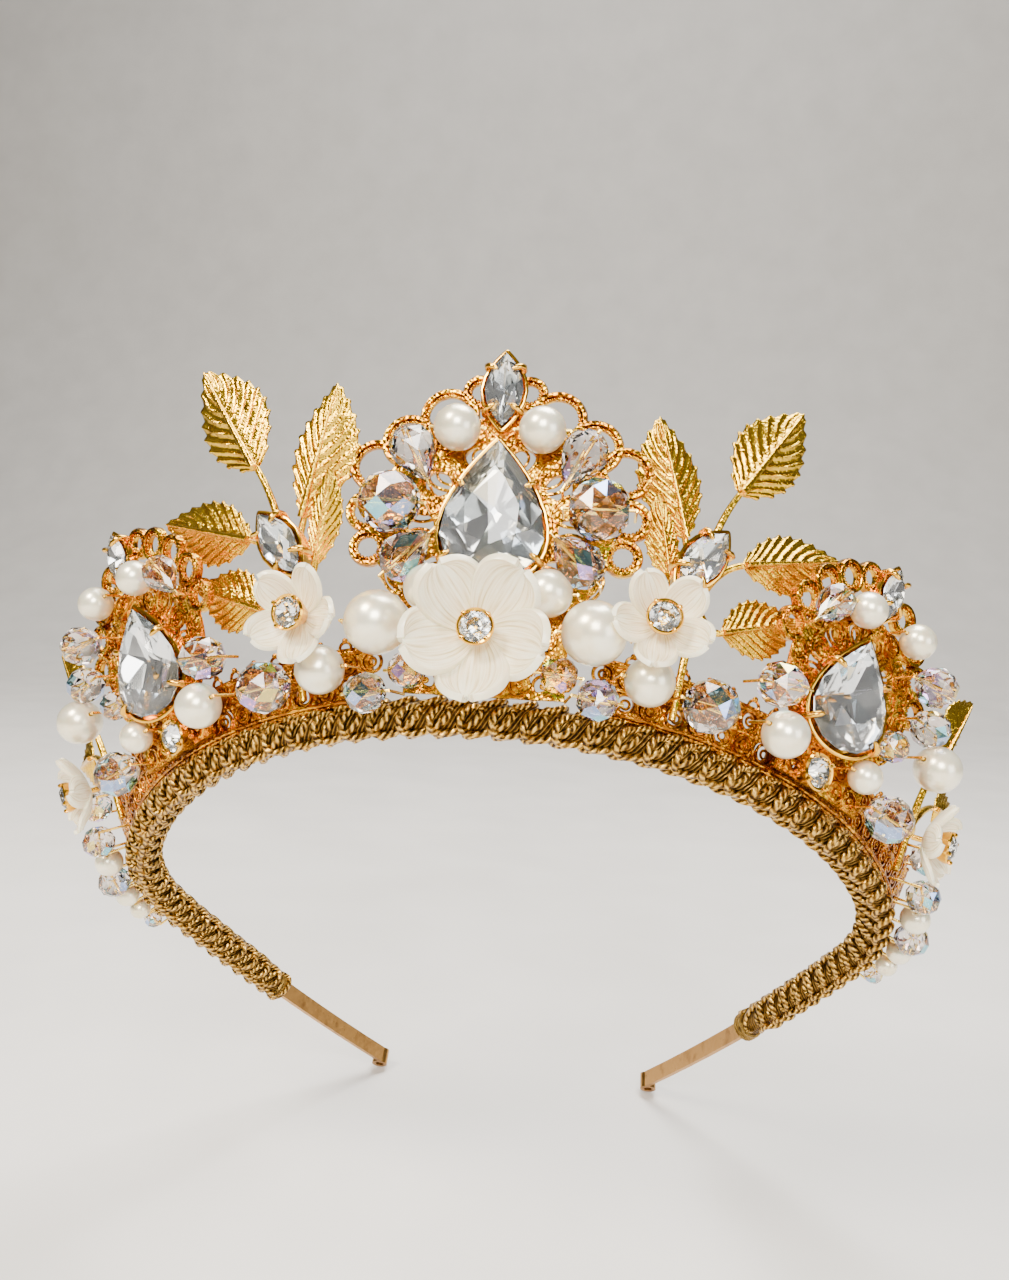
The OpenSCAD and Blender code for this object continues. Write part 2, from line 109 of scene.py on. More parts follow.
@dataclass(frozen=True)
class Band:
    """The centre line of the headband and the stations on it, in mm and degrees."""

    front_r: float = 60.0
    front_half: float = 67.0
    side_r: float = 30.0
    side_arc: float = 43.0
    rear_r: float = 400.0
    flare_front: float = 31.0
    flare_skew: float = 4.0
    flare_turn: float = 15.0
    tilt: float = 45.0

    def out(self, heading: float) -> Vector:
        """Gives the outward direction in the band's plane at a heading."""
        turn = math.radians(heading)
        return Vector((math.sin(turn), -math.cos(turn), 0.0))

    def point(self, heading: float) -> Vector:
        """Gives the centre line's point at a signed heading.

        Args:
            heading: degrees from the forehead, negative on the left.

        Returns:
            The point in the band's plane, in mm.
        """
        turn = abs(heading)
        side_end = self.front_half + self.side_arc
        side_c = (self.front_r - self.side_r) * self.out(self.front_half)
        rear_c = side_c + (self.side_r - self.rear_r) * self.out(side_end)
        if turn <= self.front_half:
            spot = self.front_r * self.out(turn)
        elif turn <= side_end:
            spot = side_c + self.side_r * self.out(turn)
        else:
            spot = rear_c + self.rear_r * self.out(turn)
        return Vector((-spot.x, spot.y, 0.0)) if heading < 0 else spot

    def _arcs(self) -> tuple[tuple[float, float], ...]:
        """Gives the arcs from the forehead back, each by its turn and radius."""
        return (self.front_half, self.front_r), (self.side_arc, self.side_r), (90.0, self.rear_r)

    def run(self, heading: float) -> float:
        """Gives the signed length along the centre line from the forehead, in mm."""
        left, length = abs(heading), 0.0
        for arc, radius in self._arcs():
            step = min(arc, left)
            length += math.radians(step) * radius
            left -= step
        return math.copysign(length, heading)

    def heading(self, run: float) -> float:
        """Gives the heading at a signed length along the centre line."""
        left, turn = abs(run), 0.0
        for arc, radius in self._arcs():
            step = min(arc, math.degrees(left / radius))
            turn += step
            left -= math.radians(step) * radius
        return math.copysign(turn, run)

    def worn(self) -> Matrix:
        """Gives the matrix that stands the band as worn and turns mm to metres."""
        return Matrix.Rotation(math.radians(-self.tilt), 4, "X") @ Matrix.Scale(MM, 4)

    def station(self, heading: float, side: int = 1) -> Matrix:
        """Gives the frame in which a flat piece of the trim is drawn.

        Args:
            heading: degrees from the forehead.
            side: -1 for the left, where the frame is mirrored, or 1.

        Returns:
            A matrix from station mm to metres: X along the band, Y up the trim, Z outward.
        """
        signed = side * heading
        flare = self.flare_front - self.flare_skew * max(-1.0, min(1.0, signed / self.flare_turn))
        place = (
            self.worn()
            @ Matrix.Translation(self.point(signed))
            @ Matrix.Rotation(math.radians(signed), 4, "Z")
            @ Matrix.Rotation(math.radians(90 + flare), 4, "X")
        )
        return place @ Matrix.Diagonal((-1, 1, 1, 1)) if side < 0 else place

    def round_the_strip(self, run: float, angle: float, radius: float) -> Vector:
        """Gives a point beside the centre line.

        Args:
            run: signed length along the centre line in mm.
            angle: radians round the strip, 0 outward and a quarter turn up.
            radius: distance from the centre line in mm.

        Returns:
            The point in the band's plane frame, in mm.
        """
        turn = self.heading(run)
        away = self.out(turn)
        return self.point(turn) + radius * (math.cos(angle) * away + Vector((0, 0, math.sin(angle))))


BAND = Band()


def at(x: float, y: float, z: float, turn: float = 0.0, size: float = 1.0) -> Matrix:
    """Gives a place in a station.

    Args:
        x: mm along the band.
        y: mm up the trim.
        z: mm outward.
        turn: degrees about the outward axis.
        size: scale of the piece.

    Returns:
        The matrix of that place.
    """
    turned_by = Matrix.Rotation(math.radians(turn), 4, "Z")
    return Matrix.Translation((x, y, z)) @ turned_by @ Matrix.Scale(size, 4)


# ---- finishes ----


def linear(code: str) -> tuple[float, float, float, float]:
    """Turns an sRGB hex colour to linear RGBA.

    Args:
        code: six hex digits.

    Returns:
        The linear colour with alpha 1.
    """
    parts = (int(code[i : i + 2], 16) / 255 for i in (0, 2, 4))
    return (*(p / 12.92 if p <= 0.04045 else ((p + 0.055) / 1.055) ** 2.4 for p in parts), 1.0)


def add_node(
    tree: Tree,
    kind: str,
    settings: Optional[dict[str, object]] = None,
    **feeds: object,
) -> bpy.types.Node:
    """Adds a shader node with its settings and its sockets fed.

    Args:
        tree: the material's node tree.
        kind: the node's type after ShaderNode.
        settings: node properties by name.
        **feeds: a constant or another node's output by socket name, with spaces as underscores;
            a name such as i0 is the socket's index.

    Returns:
        The new node.
    """
    node = tree.nodes.new("ShaderNode" + kind)
    for name, value in (settings or {}).items():
        setattr(node, name, value)
    for name, value in feeds.items():
        numbered = name[0] == "i" and name[1:].isdigit()
        socket = node.inputs[int(name[1:]) if numbered else name.replace("_", " ")]
        if isinstance(value, Socket):
            tree.links.new(value, socket)
        else:
            socket.default_value = value
    return node


def add_ramp(tree: Tree, source: Socket, *stops: tuple[float, str]) -> Socket:
    """Adds a colour ramp.

    Args:
        tree: the material's node tree.
        source: the value that drives it.
        *stops: positions with their sRGB hex colours, lowest first.

    Returns:
        The ramp's colour output.
    """
    node = add_node(tree, "ValToRGB", i0=source)
    marks = node.color_ramp.elements
    while len(marks) < len(stops):
        marks.new(0.5)
    for mark, (place, code) in zip(marks, stops):
        mark.position = place
        mark.color = linear(code)
    return node.outputs["Color"]


@dataclass(frozen=True)
class Finish:
    """A finish: a named material whose nodes a subclass lays out."""

    name: str

    def dress(self) -> bpy.types.Material:
        """Gives the finish's material, made once."""
        made = bpy.data.materials.get(self.name)
        if made is None:
            made = bpy.data.materials.new(self.name)
            made.use_nodes = True
            made.node_tree.nodes.clear()
            tree = made.node_tree
            add_node(tree, "OutputMaterial", Surface=self.surface(tree))
        return made

    def surface(self, tree: Tree) -> Socket:
        """Lays out the nodes and gives the shader's output."""
        raise NotImplementedError

    def object_place(self, tree: Tree) -> Socket:
        """Gives the object coordinates, in metres."""
        return add_node(tree, "TexCoord").outputs["Object"]

    def grain(self, tree: Tree, size_mm: float, detail: float = 3.0) -> Socket:
        """Adds noise on object coordinates.

        Args:
            tree: the material's node tree.
            size_mm: size of one blotch in mm.
            detail: octaves of finer noise.

        Returns:
            The noise value.
        """
        return add_node(
            tree, "TexNoise", Vector=self.object_place(tree), Scale=1 / (size_mm * MM), Detail=detail
        ).outputs["Fac"]


@dataclass(frozen=True)
class PlatedBrass(Finish):
    """Gold plate on stamped brass: bright yellow with random blotches of deeper gold, and painted shade
    between any stamped beads.
    """

    bright: str = "F2BC22"
    deep: str = "A96C14"
    roughness: float = 0.22
    hammer_mm: float = 0.7
    hammer_depth: float = 0.05
    beading_mm: float = 0.0
    beading_depth: float = 0.14

    def surface(self, tree: Tree) -> Socket:
        """Blotches of deeper gold, uneven polish, the ripple of the die and any stamped beading, with
        painted shade between the beads.
        """
        tone = self.grain(tree, 2.5)
        ripple = self.grain(tree, self.hammer_mm, 2.0)
        polish = add_node(
            tree, "MapRange", Value=ripple, To_Min=self.roughness * 0.7, To_Max=self.roughness * 1.4
        ).outputs[0]
        bump = add_node(
            tree, "Bump", Strength=0.9, Distance=self.hammer_depth * MM, Height=ripple
        ).outputs[0]
        if self.beading_mm:
            cells = add_node(
                tree, "TexVoronoi", Vector=self.object_place(tree), Scale=1 / (self.beading_mm * MM)
            ).outputs["Distance"]
            # painted shade: the colour darkens towards each cell's edge, in the hollows between the stamped
            # beads
            tone = add_node(
                tree, "Math", {"operation": "MULTIPLY_ADD"}, i0=cells, i1=-0.4, i2=tone
            ).outputs[0]
            bump = add_node(
                tree,
                "Bump",
                {"invert": True},
                Strength=1.0,
                Distance=self.beading_depth * MM,
                Height=cells,
                Normal=bump,
            ).outputs[0]
        colour = add_ramp(tree, tone, (0.22, self.deep), (0.48, self.bright))
        return add_node(
            tree, "BsdfPrincipled", Base_Color=colour, Metallic=1.0, Roughness=polish, Normal=bump
        ).outputs[0]


@dataclass(frozen=True)
class MetalYarn(Finish):
    """Gimp of metal-wrapped yarn: strands twisted together, with a painted highlight on top of each strand
    and painted shade between them.
    """

    light: str = "E0B458"
    middle: str = "946A26"
    dark: str = "2E1A06"
    cord_mm: float = 828.0
    twist_mm: float = 0.92
    strands: int = 2
    groove_mm: float = 0.16

    def surface(self, tree: Tree) -> Socket:
        """Slanted bands on the cord's own map: its length runs along U, its girth along V.

        The twist is drawn about twice as coarse as real yarn's, so that it shows.
        """
        bands_a_unit = 10 / (2 * math.pi)
        along = add_node(tree, "TexCoord").outputs["UV"]
        scale = (self.cord_mm / self.twist_mm / bands_a_unit, self.strands / bands_a_unit, 0.0)
        spun = add_node(tree, "Mapping", Vector=along, Scale=scale).outputs[0]
        slanted = {"bands_direction": "DIAGONAL"}
        strand = add_node(tree, "TexWave", slanted, Vector=spun, Scale=1.0).outputs["Fac"]
        worn = self.grain(tree, 0.6)
        tone = add_node(tree, "Math", {"operation": "MULTIPLY_ADD"}, i0=strand, i1=0.5, i2=worn).outputs[0]
        # painted highlight and shade: the colour runs from the shade colour in the grooves to the light
        # colour on the strands' tops, broken by random wear
        colour = add_ramp(tree, tone, (0.42, self.dark), (0.7, self.middle), (0.95, self.light))
        bump = add_node(
            tree, "Bump", Strength=1.0, Distance=self.groove_mm * MM, Height=strand
        ).outputs[0]
        return add_node(
            tree, "BsdfPrincipled", Base_Color=colour, Metallic=0.9, Roughness=0.3, Normal=bump
        ).outputs[0]


@dataclass(frozen=True)
class CutGlass(Finish):
    """Clear cut glass: sharp facets, almost no colour, faint polishing marks."""

    tint: str = "FBFDFF"
    ior: float = 1.55

    def surface(self, tree: Tree) -> Socket:
        """Clear glass whose polish varies a hair between patches."""
        patch = self.grain(tree, 1.5)
        polish = add_node(tree, "MapRange", Value=patch, To_Min=0.0, To_Max=0.03).outputs[0]
        return add_node(
            tree,
            "BsdfPrincipled",
            Base_Color=linear(self.tint),
            Roughness=polish,
            IOR=self.ior,
            Transmission_Weight=1.0,
        ).outputs[0]


@dataclass(frozen=True)
class FoilBack(Finish):
    """Silver foil behind a stone: a mirror broken by the facets, each facet with a grey or cream tint
    chosen at random.
    """

    def surface(self, tree: Tree) -> Socket:
        """Each facet has its own grey, from the facet attribute."""
        shade = add_node(tree, "Attribute", {"attribute_name": "facet"}).outputs["Color"]
        return add_node(
            tree, "BsdfPrincipled", Base_Color=shade, Metallic=0.93, Roughness=0.07
        ).outputs[0]


@dataclass(frozen=True)
class RainbowGlass(Finish):
    """Blush cut glass with a vapour-coated half: clear blush with sky, violet and straw flashes."""

    ior: float = 1.54

    def surface(self, tree: Tree) -> Socket:
        """The facet attribute holds each facet's tint, and its alpha how far the coating mirrors."""
        facet = add_node(tree, "Attribute", {"attribute_name": "facet"})
        return add_node(
            tree,
            "BsdfPrincipled",
            Base_Color=facet.outputs["Color"],
            Metallic=facet.outputs["Alpha"],
            Roughness=0.03,
            IOR=self.ior,
            Transmission_Weight=1.0,
        ).outputs[0]


@dataclass(frozen=True)
class CarvedShell(Finish):
    """Carved mother-of-pearl: milky, satin, with fine growth lines that run out along each petal."""

    def surface(self, tree: Tree) -> Socket:
        """Lines on the petal's own map, with a soft polish."""
        petal = add_node(tree, "TexCoord").outputs["UV"]
        across = add_node(tree, "Mapping", Vector=petal, Scale=(26.0, 1.6, 1.0)).outputs[0]
        lines = add_node(tree, "TexNoise", Vector=across, Scale=1.0, Detail=4.0).outputs["Fac"]
        colour = add_ramp(tree, lines, (0.3, "C8B27E"), (0.45, "EEE0BA"), (0.6, "FBF3D8"))
        bump = add_node(tree, "Bump", Strength=0.7, Distance=0.12 * MM, Height=lines).outputs[0]
        return add_node(
            tree,
            "BsdfPrincipled",
            Base_Color=colour,
            Roughness=0.34,
            Normal=bump,
            Subsurface_Weight=0.12,
            Subsurface_Scale=0.0015,
            Coat_Weight=0.35,
            Coat_Roughness=0.15,
        ).outputs[0]


@dataclass(frozen=True)
class PearlLacquer(Finish):
    """Pearl lacquer on glass beads: ivory with a soft metallic glow and a gloss coat on top."""

    def surface(self, tree: Tree) -> Socket:
        """Cloudy unevenness in the lacquer under the gloss."""
        cloud = self.grain(tree, 3.0)
        colour = add_ramp(tree, cloud, (0.35, "F3E6C2"), (0.65, "FFF8DE"))
        bump = add_node(
            tree, "Bump", Strength=0.2, Distance=0.02 * MM, Height=self.grain(tree, 0.5)
        ).outputs[0]
        return add_node(
            tree,
            "BsdfPrincipled",
            Base_Color=colour,
            Metallic=0.5,
            Roughness=0.3,
            Normal=bump,
            Specular_IOR_Level=0.7,
            Subsurface_Weight=0.1,
            Subsurface_Scale=0.001,
            Coat_Weight=0.8,
            Coat_Roughness=0.06,
        ).outputs[0]


@dataclass(frozen=True)
class StudioPaper(Finish):
    """Matt background paper, faintly mottled."""

    def surface(self, tree: Tree) -> Socket:
        """Pale warm grey with a very soft mottle."""
        colour = add_ramp(tree, self.grain(tree, 40.0), (0.3, "DEDAD4"), (0.7, "E6E2DC"))
        return add_node(tree, "BsdfPrincipled", Base_Color=colour, Roughness=0.9).outputs[0]


# Stamped parts: the die's beading breaks the light into sparks, with brown painted shade between them.
FILIGREE_GILT = PlatedBrass("gold_plate_on_stamped_filigree", roughness=0.18, beading_mm=0.7)
LACE_GILT = PlatedBrass(
    "gold_plate_on_lace_strip", bright="E8A41E", deep="8E5212", roughness=0.22, beading_mm=0.6
)
LEAF_GILT = PlatedBrass(
    "gold_plate_on_stamped_leaf",
    bright="F7C62E",
    deep="B87E1A",
    roughness=0.18,
    hammer_mm=0.5,
    hammer_depth=0.14,
)
# Cast and drawn parts: smoother, with long clean highlights.
SETTING_GILT = PlatedBrass(
    "gold_plate_on_cast_setting",
    bright="F2B83A",
    deep="B87A20",
    roughness=0.16,
    hammer_mm=1.2,
    hammer_depth=0.02,
)
WIRE_GILT = PlatedBrass(
    "gold_plate_on_drawn_wire",
    bright="FFD768",
    deep="D09C38",
    roughness=0.18,
    hammer_mm=0.6,
    hammer_depth=0.01,
)
# Bare strip: browner and duller than the plate.
STRIP_BRASS = PlatedBrass(
    "drawn_brass_strip", bright="B98A4A", deep="8A5F2C", roughness=0.3, hammer_mm=1.0, hammer_depth=0.04
)
GIMP = MetalYarn("metal_wrapped_gimp_yarn")
# The woven ground under the cords: its colours are darkened as painted shade, for the shadow between the
# cord loops.
GIMP_GROUND_SHADED = MetalYarn(
    "woven_gimp_ground_painted_shade",
    light="8A6628",
    middle="5A3E14",
    dark="1E1004",
    cord_mm=247.8,
    twist_mm=0.59,
    strands=12,
)
CLEAR_GLASS = CutGlass("polished_cut_crystal_glass")
SILVER_FOIL = FoilBack("silver_foil_on_glass")
BLUSH_GLASS = RainbowGlass("rainbow_coated_blush_glass")
SHELL = CarvedShell("carved_mother_of_pearl")
LACQUER = PearlLacquer("pearl_lacquer_on_glass")
PAPER = StudioPaper("matt_background_paper")


# ---- the workbench ----


class Bench:
    """The few modelling moves that the classes share."""

    @staticmethod
    def clear() -> None:
        """Leaves edit mode and deselects everything."""
        if bpy.context.object and bpy.context.object.mode != "OBJECT":
            bpy.ops.object.mode_set(mode="OBJECT")
        bpy.ops.object.select_all(action="DESELECT")

    @staticmethod
    def start(name: str, add: Callable[..., object], **size: object) -> Shape:
        """Adds a primitive and enters edit mode with all of it selected.

        Args:
            name: the new object's name.
            add: the operator that adds the primitive.
            **size: the operator's arguments.

        Returns:
            The new object.
        """
        Bench.clear()
        add(**size)
        made = bpy.context.object
        made.name = name
        bpy.ops.object.mode_set(mode="EDIT")
        bpy.ops.mesh.select_all(action="SELECT")
        return made

    @staticmethod
    def warp(where: Callable[[Vector], Vector]) -> None:
        """Moves each selected point of the mesh in edit mode.

        Args:
            where: gives a point's new place from its old one.
        """
        mesh = bpy.context.object.data
        shape = bmesh.from_edit_mesh(mesh)
        for vert in shape.verts:
            if vert.select:
                vert.co = where(vert.co)
        bmesh.update_edit_mesh(mesh)

    @staticmethod
    def pick(test: Callable[[bmesh.types.BMFace], bool]) -> int:
        """Selects only the faces that pass a test.

        Args:
            test: says whether a face is wanted.

        Returns:
            How many faces are selected.
        """
        mesh = bpy.context.object.data
        shape = bmesh.from_edit_mesh(mesh)
        bpy.context.tool_settings.mesh_select_mode = (False, False, True)
        found = [face for face in shape.faces if test(face)]
        for part in (shape.verts, shape.edges, shape.faces):
            for item in part:
                item.select = False
        for face in found:
            face.select_set(True)
        shape.select_flush(True)
        bmesh.update_edit_mesh(mesh)
        return len(found)

    @staticmethod
    def done(smooth_below: float = 0.0) -> Shape:
        """Ends edit mode with normals outward.

        Args:
            smooth_below: degrees under which edges shade smooth, 0 for flat facets.

        Returns:
            The finished shape.
        """
        bpy.ops.mesh.select_all(action="SELECT")
        bpy.ops.mesh.normals_make_consistent(inside=False)
        bpy.ops.object.mode_set(mode="OBJECT")
        made = bpy.context.object
        if smooth_below:
            bpy.ops.object.shade_smooth_by_angle(angle=math.radians(smooth_below))
        else:
            bpy.ops.object.shade_flat()
        return made

    @staticmethod
    def modify(made: Shape, kind: str, **settings: object) -> None:
        """Adds a modifier and applies it.

        Args:
            made: the object, which becomes active.
            kind: the modifier's type.
            **settings: its properties.
        """
        Bench.clear()
        made.select_set(True)
        bpy.context.view_layer.objects.active = made
        changer = made.modifiers.new(kind.lower(), kind)
        for name, value in settings.items():
            setattr(changer, name, value)
        bpy.ops.object.modifier_apply(modifier=changer.name)

    @staticmethod
    def paint(made: Shape, *finishes: Finish) -> Shape:
        """Gives an object its material slots in order."""
        made.data.materials.clear()
        for finish in finishes:
            made.data.materials.append(finish.dress())
        return made

    @staticmethod
    def lay(
        name: str,
        parts: Iterable[Part],
        slot: str,
        stands_for: Sequence[str] = (),
    ) -> Shape:
        """Copies prototypes to their places as one piece at the origin, riding on the band.

        Args:
            name: the piece's name.
            parts: prototypes, each with the matrix from its own mm to metres.
            slot: a material slot's name; not used.
            stands_for: the frame's nodes that it replaces.

        Returns:
            The piece.
        """
        Bench.clear()
        copies: list[Shape] = []
        for shape, place in parts:
            mesh = shape.data.copy()
            mesh.transform(place)
            if place.determinant() < 0:
                mesh.flip_normals()
            copy = bpy.data.objects.new(name, mesh)
            bpy.context.collection.objects.link(copy)
            copy.select_set(True)
            copies.append(copy)
        bpy.context.view_layer.objects.active = copies[0]
        if len(copies) > 1:
            bpy.ops.object.join()
        piece = copies[0]
        piece.name = name
        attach(piece, BODY)
        if stands_for:
            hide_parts(*stands_for)
        LOG.info("%s: %d copies, %d faces", name, len(copies), len(piece.data.polygons))
        return piece

    @staticmethod
    def tube(
        name: str,
        points: Sequence[Vector],
        radius: float,
        taper: Optional[Sequence[float]] = None,
        closed: bool = False,
        sides: int = 2,
    ) -> Shape:
        """Sweeps a round section along points and makes it a mesh.

        Args:
            name: the new object's name.
            points: the centre line.
            radius: the section's radius.
            taper: radius factors for the points.
            closed: whether the line is a ring.
            sides: bevel resolution of the section.

        Returns:
            The mesh object.
        """
        Bench.clear()
        line = bpy.data.curves.new(name, "CURVE")
        line.dimensions = "3D"
        line.bevel_depth = radius
        line.bevel_resolution = sides
        line.use_fill_caps = not closed
        spline = line.splines.new("POLY")
        spline.points.add(len(points) - 1)
        for i, (spot, place) in enumerate(zip(spline.points, points)):
            spot.co = (*place, 1.0)
            spot.radius = taper[i] if taper else 1.0
        spline.use_cyclic_u = closed
        made = bpy.data.objects.new(name, line)
        bpy.context.collection.objects.link(made)
        made.select_set(True)
        bpy.context.view_layer.objects.active = made
        bpy.ops.object.convert(target="MESH")
        bpy.ops.object.shade_smooth_by_angle(angle=math.radians(60))
        return made

    @staticmethod
    def drop_shapes(shapes: Iterable[Shape]) -> None:
        """Removes prototypes once their copies are laid."""
        for shape in shapes:
            bpy.data.objects.remove(shape, do_unlink=True)


# ---- stones and beads ----


@dataclass(frozen=True)
class Tier:
    """One ring of corners of a cut stone: its height, its share of the outline and its corners."""

    height: float
    share: float
    corners: int
    phase: float = 0.0


@dataclass
class GemCutter:
    """Cuts stones and beads: rings of corners joined by flat facets."""

    greys: tuple[str, ...] = ("FFFFFF", "F4F8FA", "FBF3DE", "D9E0E3", "FFFFFF", "F7FBFD")
    blushes: tuple[str, ...] = ("FFF3EC", "FCE9E0", "FBF0E2", "F7EEEA")
    flashes: tuple[str, ...] = ("8FDDF2", "C3A4F0", "F6E28A", "F2B6D2", "A9C4F7")
    flash_share: float = 0.2
    dice: random.Random = field(default_factory=lambda: random.Random(11))

    def cut(
        self, name: str, outline: Outline, width: float, length: float, tiers: Sequence[Tier]
    ) -> Shape:
        """Cuts a solid with flat facets between rings of corners.

        Args:
            name: the stone's name.
            outline: its plan shape.
            width: its width in mm.
            length: its length in mm.
            tiers: its rings from the top down.

        Returns:
            The stone, its girdle at z = 0.
        """
        first, *rest = tiers
        stone = Bench.start(
            name, bpy.ops.mesh.primitive_circle_add, vertices=first.corners, radius=1.0
        )
        self._shape(outline, width, length, first)
        for tier in rest:
            bpy.ops.mesh.select_all(action="DESELECT")
            bpy.ops.mesh.primitive_circle_add(vertices=tier.corners, radius=1.0)
            self._shape(outline, width, length, tier)
        bpy.ops.mesh.select_all(action="SELECT")
        bpy.ops.mesh.convex_hull()
        return stone

    def _shape(self, outline: Outline, width: float, length: float, tier: Tier) -> None:
        """Brings the selected ring to its outline and height."""
        turn = tier.phase * 2 * math.pi / tier.corners

        def place(spot: Vector) -> Vector:
            """Gives a corner's place on the outline."""
            x, y = outline.point(math.atan2(spot.x, spot.y) + turn, width * tier.share, length * tier.share)
            return Vector((x, y, tier.height))

        Bench.warp(place)

    def tint(self, stone: Shape, colours: Sequence[str], mirror: float = 0.0) -> None:
        """Gives each facet its tint, and some facets the coating's flash.

        Args:
            stone: the cut stone.
            colours: the tints to choose from.
            mirror: share of mirror on a flashing facet, 0 for a stone with no coating.
        """
        layer = stone.data.color_attributes.new("facet", "FLOAT_COLOR", "CORNER")
        for face in stone.data.polygons:
            shade = linear(self.dice.choice(colours))[:3]
            share = 0.0
            if mirror:
                share = 0.05
                if self.dice.random() < self.flash_share:
                    shade, share = linear(self.dice.choice(self.flashes))[:3], mirror
            for corner in face.loop_indices:
                layer.data[corner].color = (*shade, share if mirror else 1.0)

    def foiled(
        self,
        name: str,
        outline: Outline,
        width: float,
        length: float,
        crown: float,
        back: float,
        corners: int = 8,
    ) -> Shape:
        """Cuts a foil-backed stone: table, crown, girdle and pointed back.

        Args:
            name: the stone's name.
            outline: its plan shape.
            width: its width in mm.
            length: its length in mm.
            crown: height of the table over the girdle.
            back: depth of the point under it.
            corners: sides of the table.

        Returns:
            The stone with glass above the girdle and foil below.
        """
        stone = self.cut(
            name,
            outline,
            width,
            length,
            (
                Tier(crown, 0.56, corners),
                Tier(crown * 0.62, 0.8, corners, 0.5),
                Tier(0.12, 1.0, 2 * corners),
                Tier(-0.12, 1.0, 2 * corners),
                Tier(-back * 0.5, 0.62, corners, 0.5),
                Tier(-back, 0.07, 4),
            ),
        )
        Bench.done()
        self.tint(stone, self.greys)
        Bench.paint(stone, CLEAR_GLASS, SILVER_FOIL)
        for face in stone.data.polygons:
            face.material_index = int(face.normal.z < -0.1)
        return stone

    def bead(self, name: str, profile: Sequence[tuple[float, float]], corners: int = 8) -> Shape:
        """Cuts a bead of unit size along Z and opens its thread hole.

        Args:
            name: the bead's name.
            profile: heights and radii of its rings, from one end to the other.
            corners: facets round it.

        Returns:
            The bead, its facets tinted with flashes of the coating.
        """
        tiers = [Tier(z, 2 * r, corners, 0.5 * (i % 2)) for i, (z, r) in enumerate(profile)]
        bead = self.cut(name, Outline.ROUND, 1.0, 1.0, tiers)
        Bench.pick(lambda face: abs(face.normal.z) > 0.99)
        bpy.ops.mesh.inset(thickness=0.04, depth=0.0)
        bpy.ops.mesh.inset(thickness=0.01, depth=-0.12)
        Bench.done()
        self.tint(bead, self.blushes, 0.6)
        return Bench.paint(bead, BLUSH_GLASS)

    def round_bead(self, name: str) -> Shape:
        """Cuts a round bead of diameter 1 with its thread hole along X."""
        turns = (math.radians(a) for a in (64, 38, 12, -12, -38, -64))
        rings = [(0.5 * math.sin(t), 0.5 * math.cos(t)) for t in turns]
        bead = self.bead(name, rings)
        bead.data.transform(Matrix.Rotation(math.radians(90), 4, "Y"))
        return bead

    def drop_bead(self, name: str) -> Shape:
        """Cuts a drop bead of width and length 1, its narrow end towards +Y."""
        rings = []
        for turn in (24, 52, 80, 106, 132, 158):
            t = math.radians(turn)
            rings.append((0.5 * math.cos(t), 0.65 * math.sin(t) * math.sin(t / 2)))
        bead = self.bead(name, rings)
        bead.data.transform(Matrix.Rotation(math.radians(-90), 4, "X"))
        return bead


@dataclass
class PearlMaker:
    """Rolls pearls with a dimpled thread hole at each end."""

    segments: int = 36

    def roll(self, name: str) -> Shape:
        """Makes a pearl of diameter 1 with its thread hole along X."""
        pearl = Bench.start(
            name, bpy.ops.mesh.primitive_uv_sphere_add, segments=self.segments, ring_count=20, radius=0.5
        )
        for end in SIDES:
            Bench.pick(lambda face, end=end: face.calc_center_median().z * end > 0.492)
            bpy.ops.mesh.dissolve_faces()
            bpy.ops.mesh.inset(thickness=0.022, depth=-0.004)
            bpy.ops.mesh.inset(thickness=0.006, depth=-0.12)
        Bench.done(50.0)
        pearl.data.transform(Matrix.Rotation(math.radians(90), 4, "Y"))
        return Bench.paint(pearl, LACQUER)


def turned(name: str, profile: Sequence[tuple[float, float]], sides: int, finish: Finish) -> Shape:
    """Turns a closed shape on the Z axis by extruding a disc from ring to ring.

    Args:
        name: the shape's name.
        profile: radius and height of each ring in mm, from the first cap to the last.
        sides: corners of each ring.
        finish: its finish.

    Returns:
        The turned shape.
    """
    radius, height = profile[0]
    shape = Bench.start(
        name,
        bpy.ops.mesh.primitive_circle_add,
        vertices=sides,
        radius=radius,
        fill_type="NGON",
        location=(0, 0, height),
    )
    bpy.ops.object.mode_set(mode="OBJECT")
    shape.data.transform(shape.matrix_world)
    shape.matrix_world = Matrix.Identity(4)
    bpy.ops.object.mode_set(mode="EDIT")
    bpy.ops.mesh.select_all(action="SELECT")
    for ring, level in profile[1:]:
        bpy.ops.mesh.extrude_region_move()
        up = Vector((0, 0, level))
        Bench.warp(lambda c, ring=ring, up=up: (c.xy.normalized() * ring).to_3d() + up)
    Bench.done(35.0)
    return Bench.paint(shape, finish)


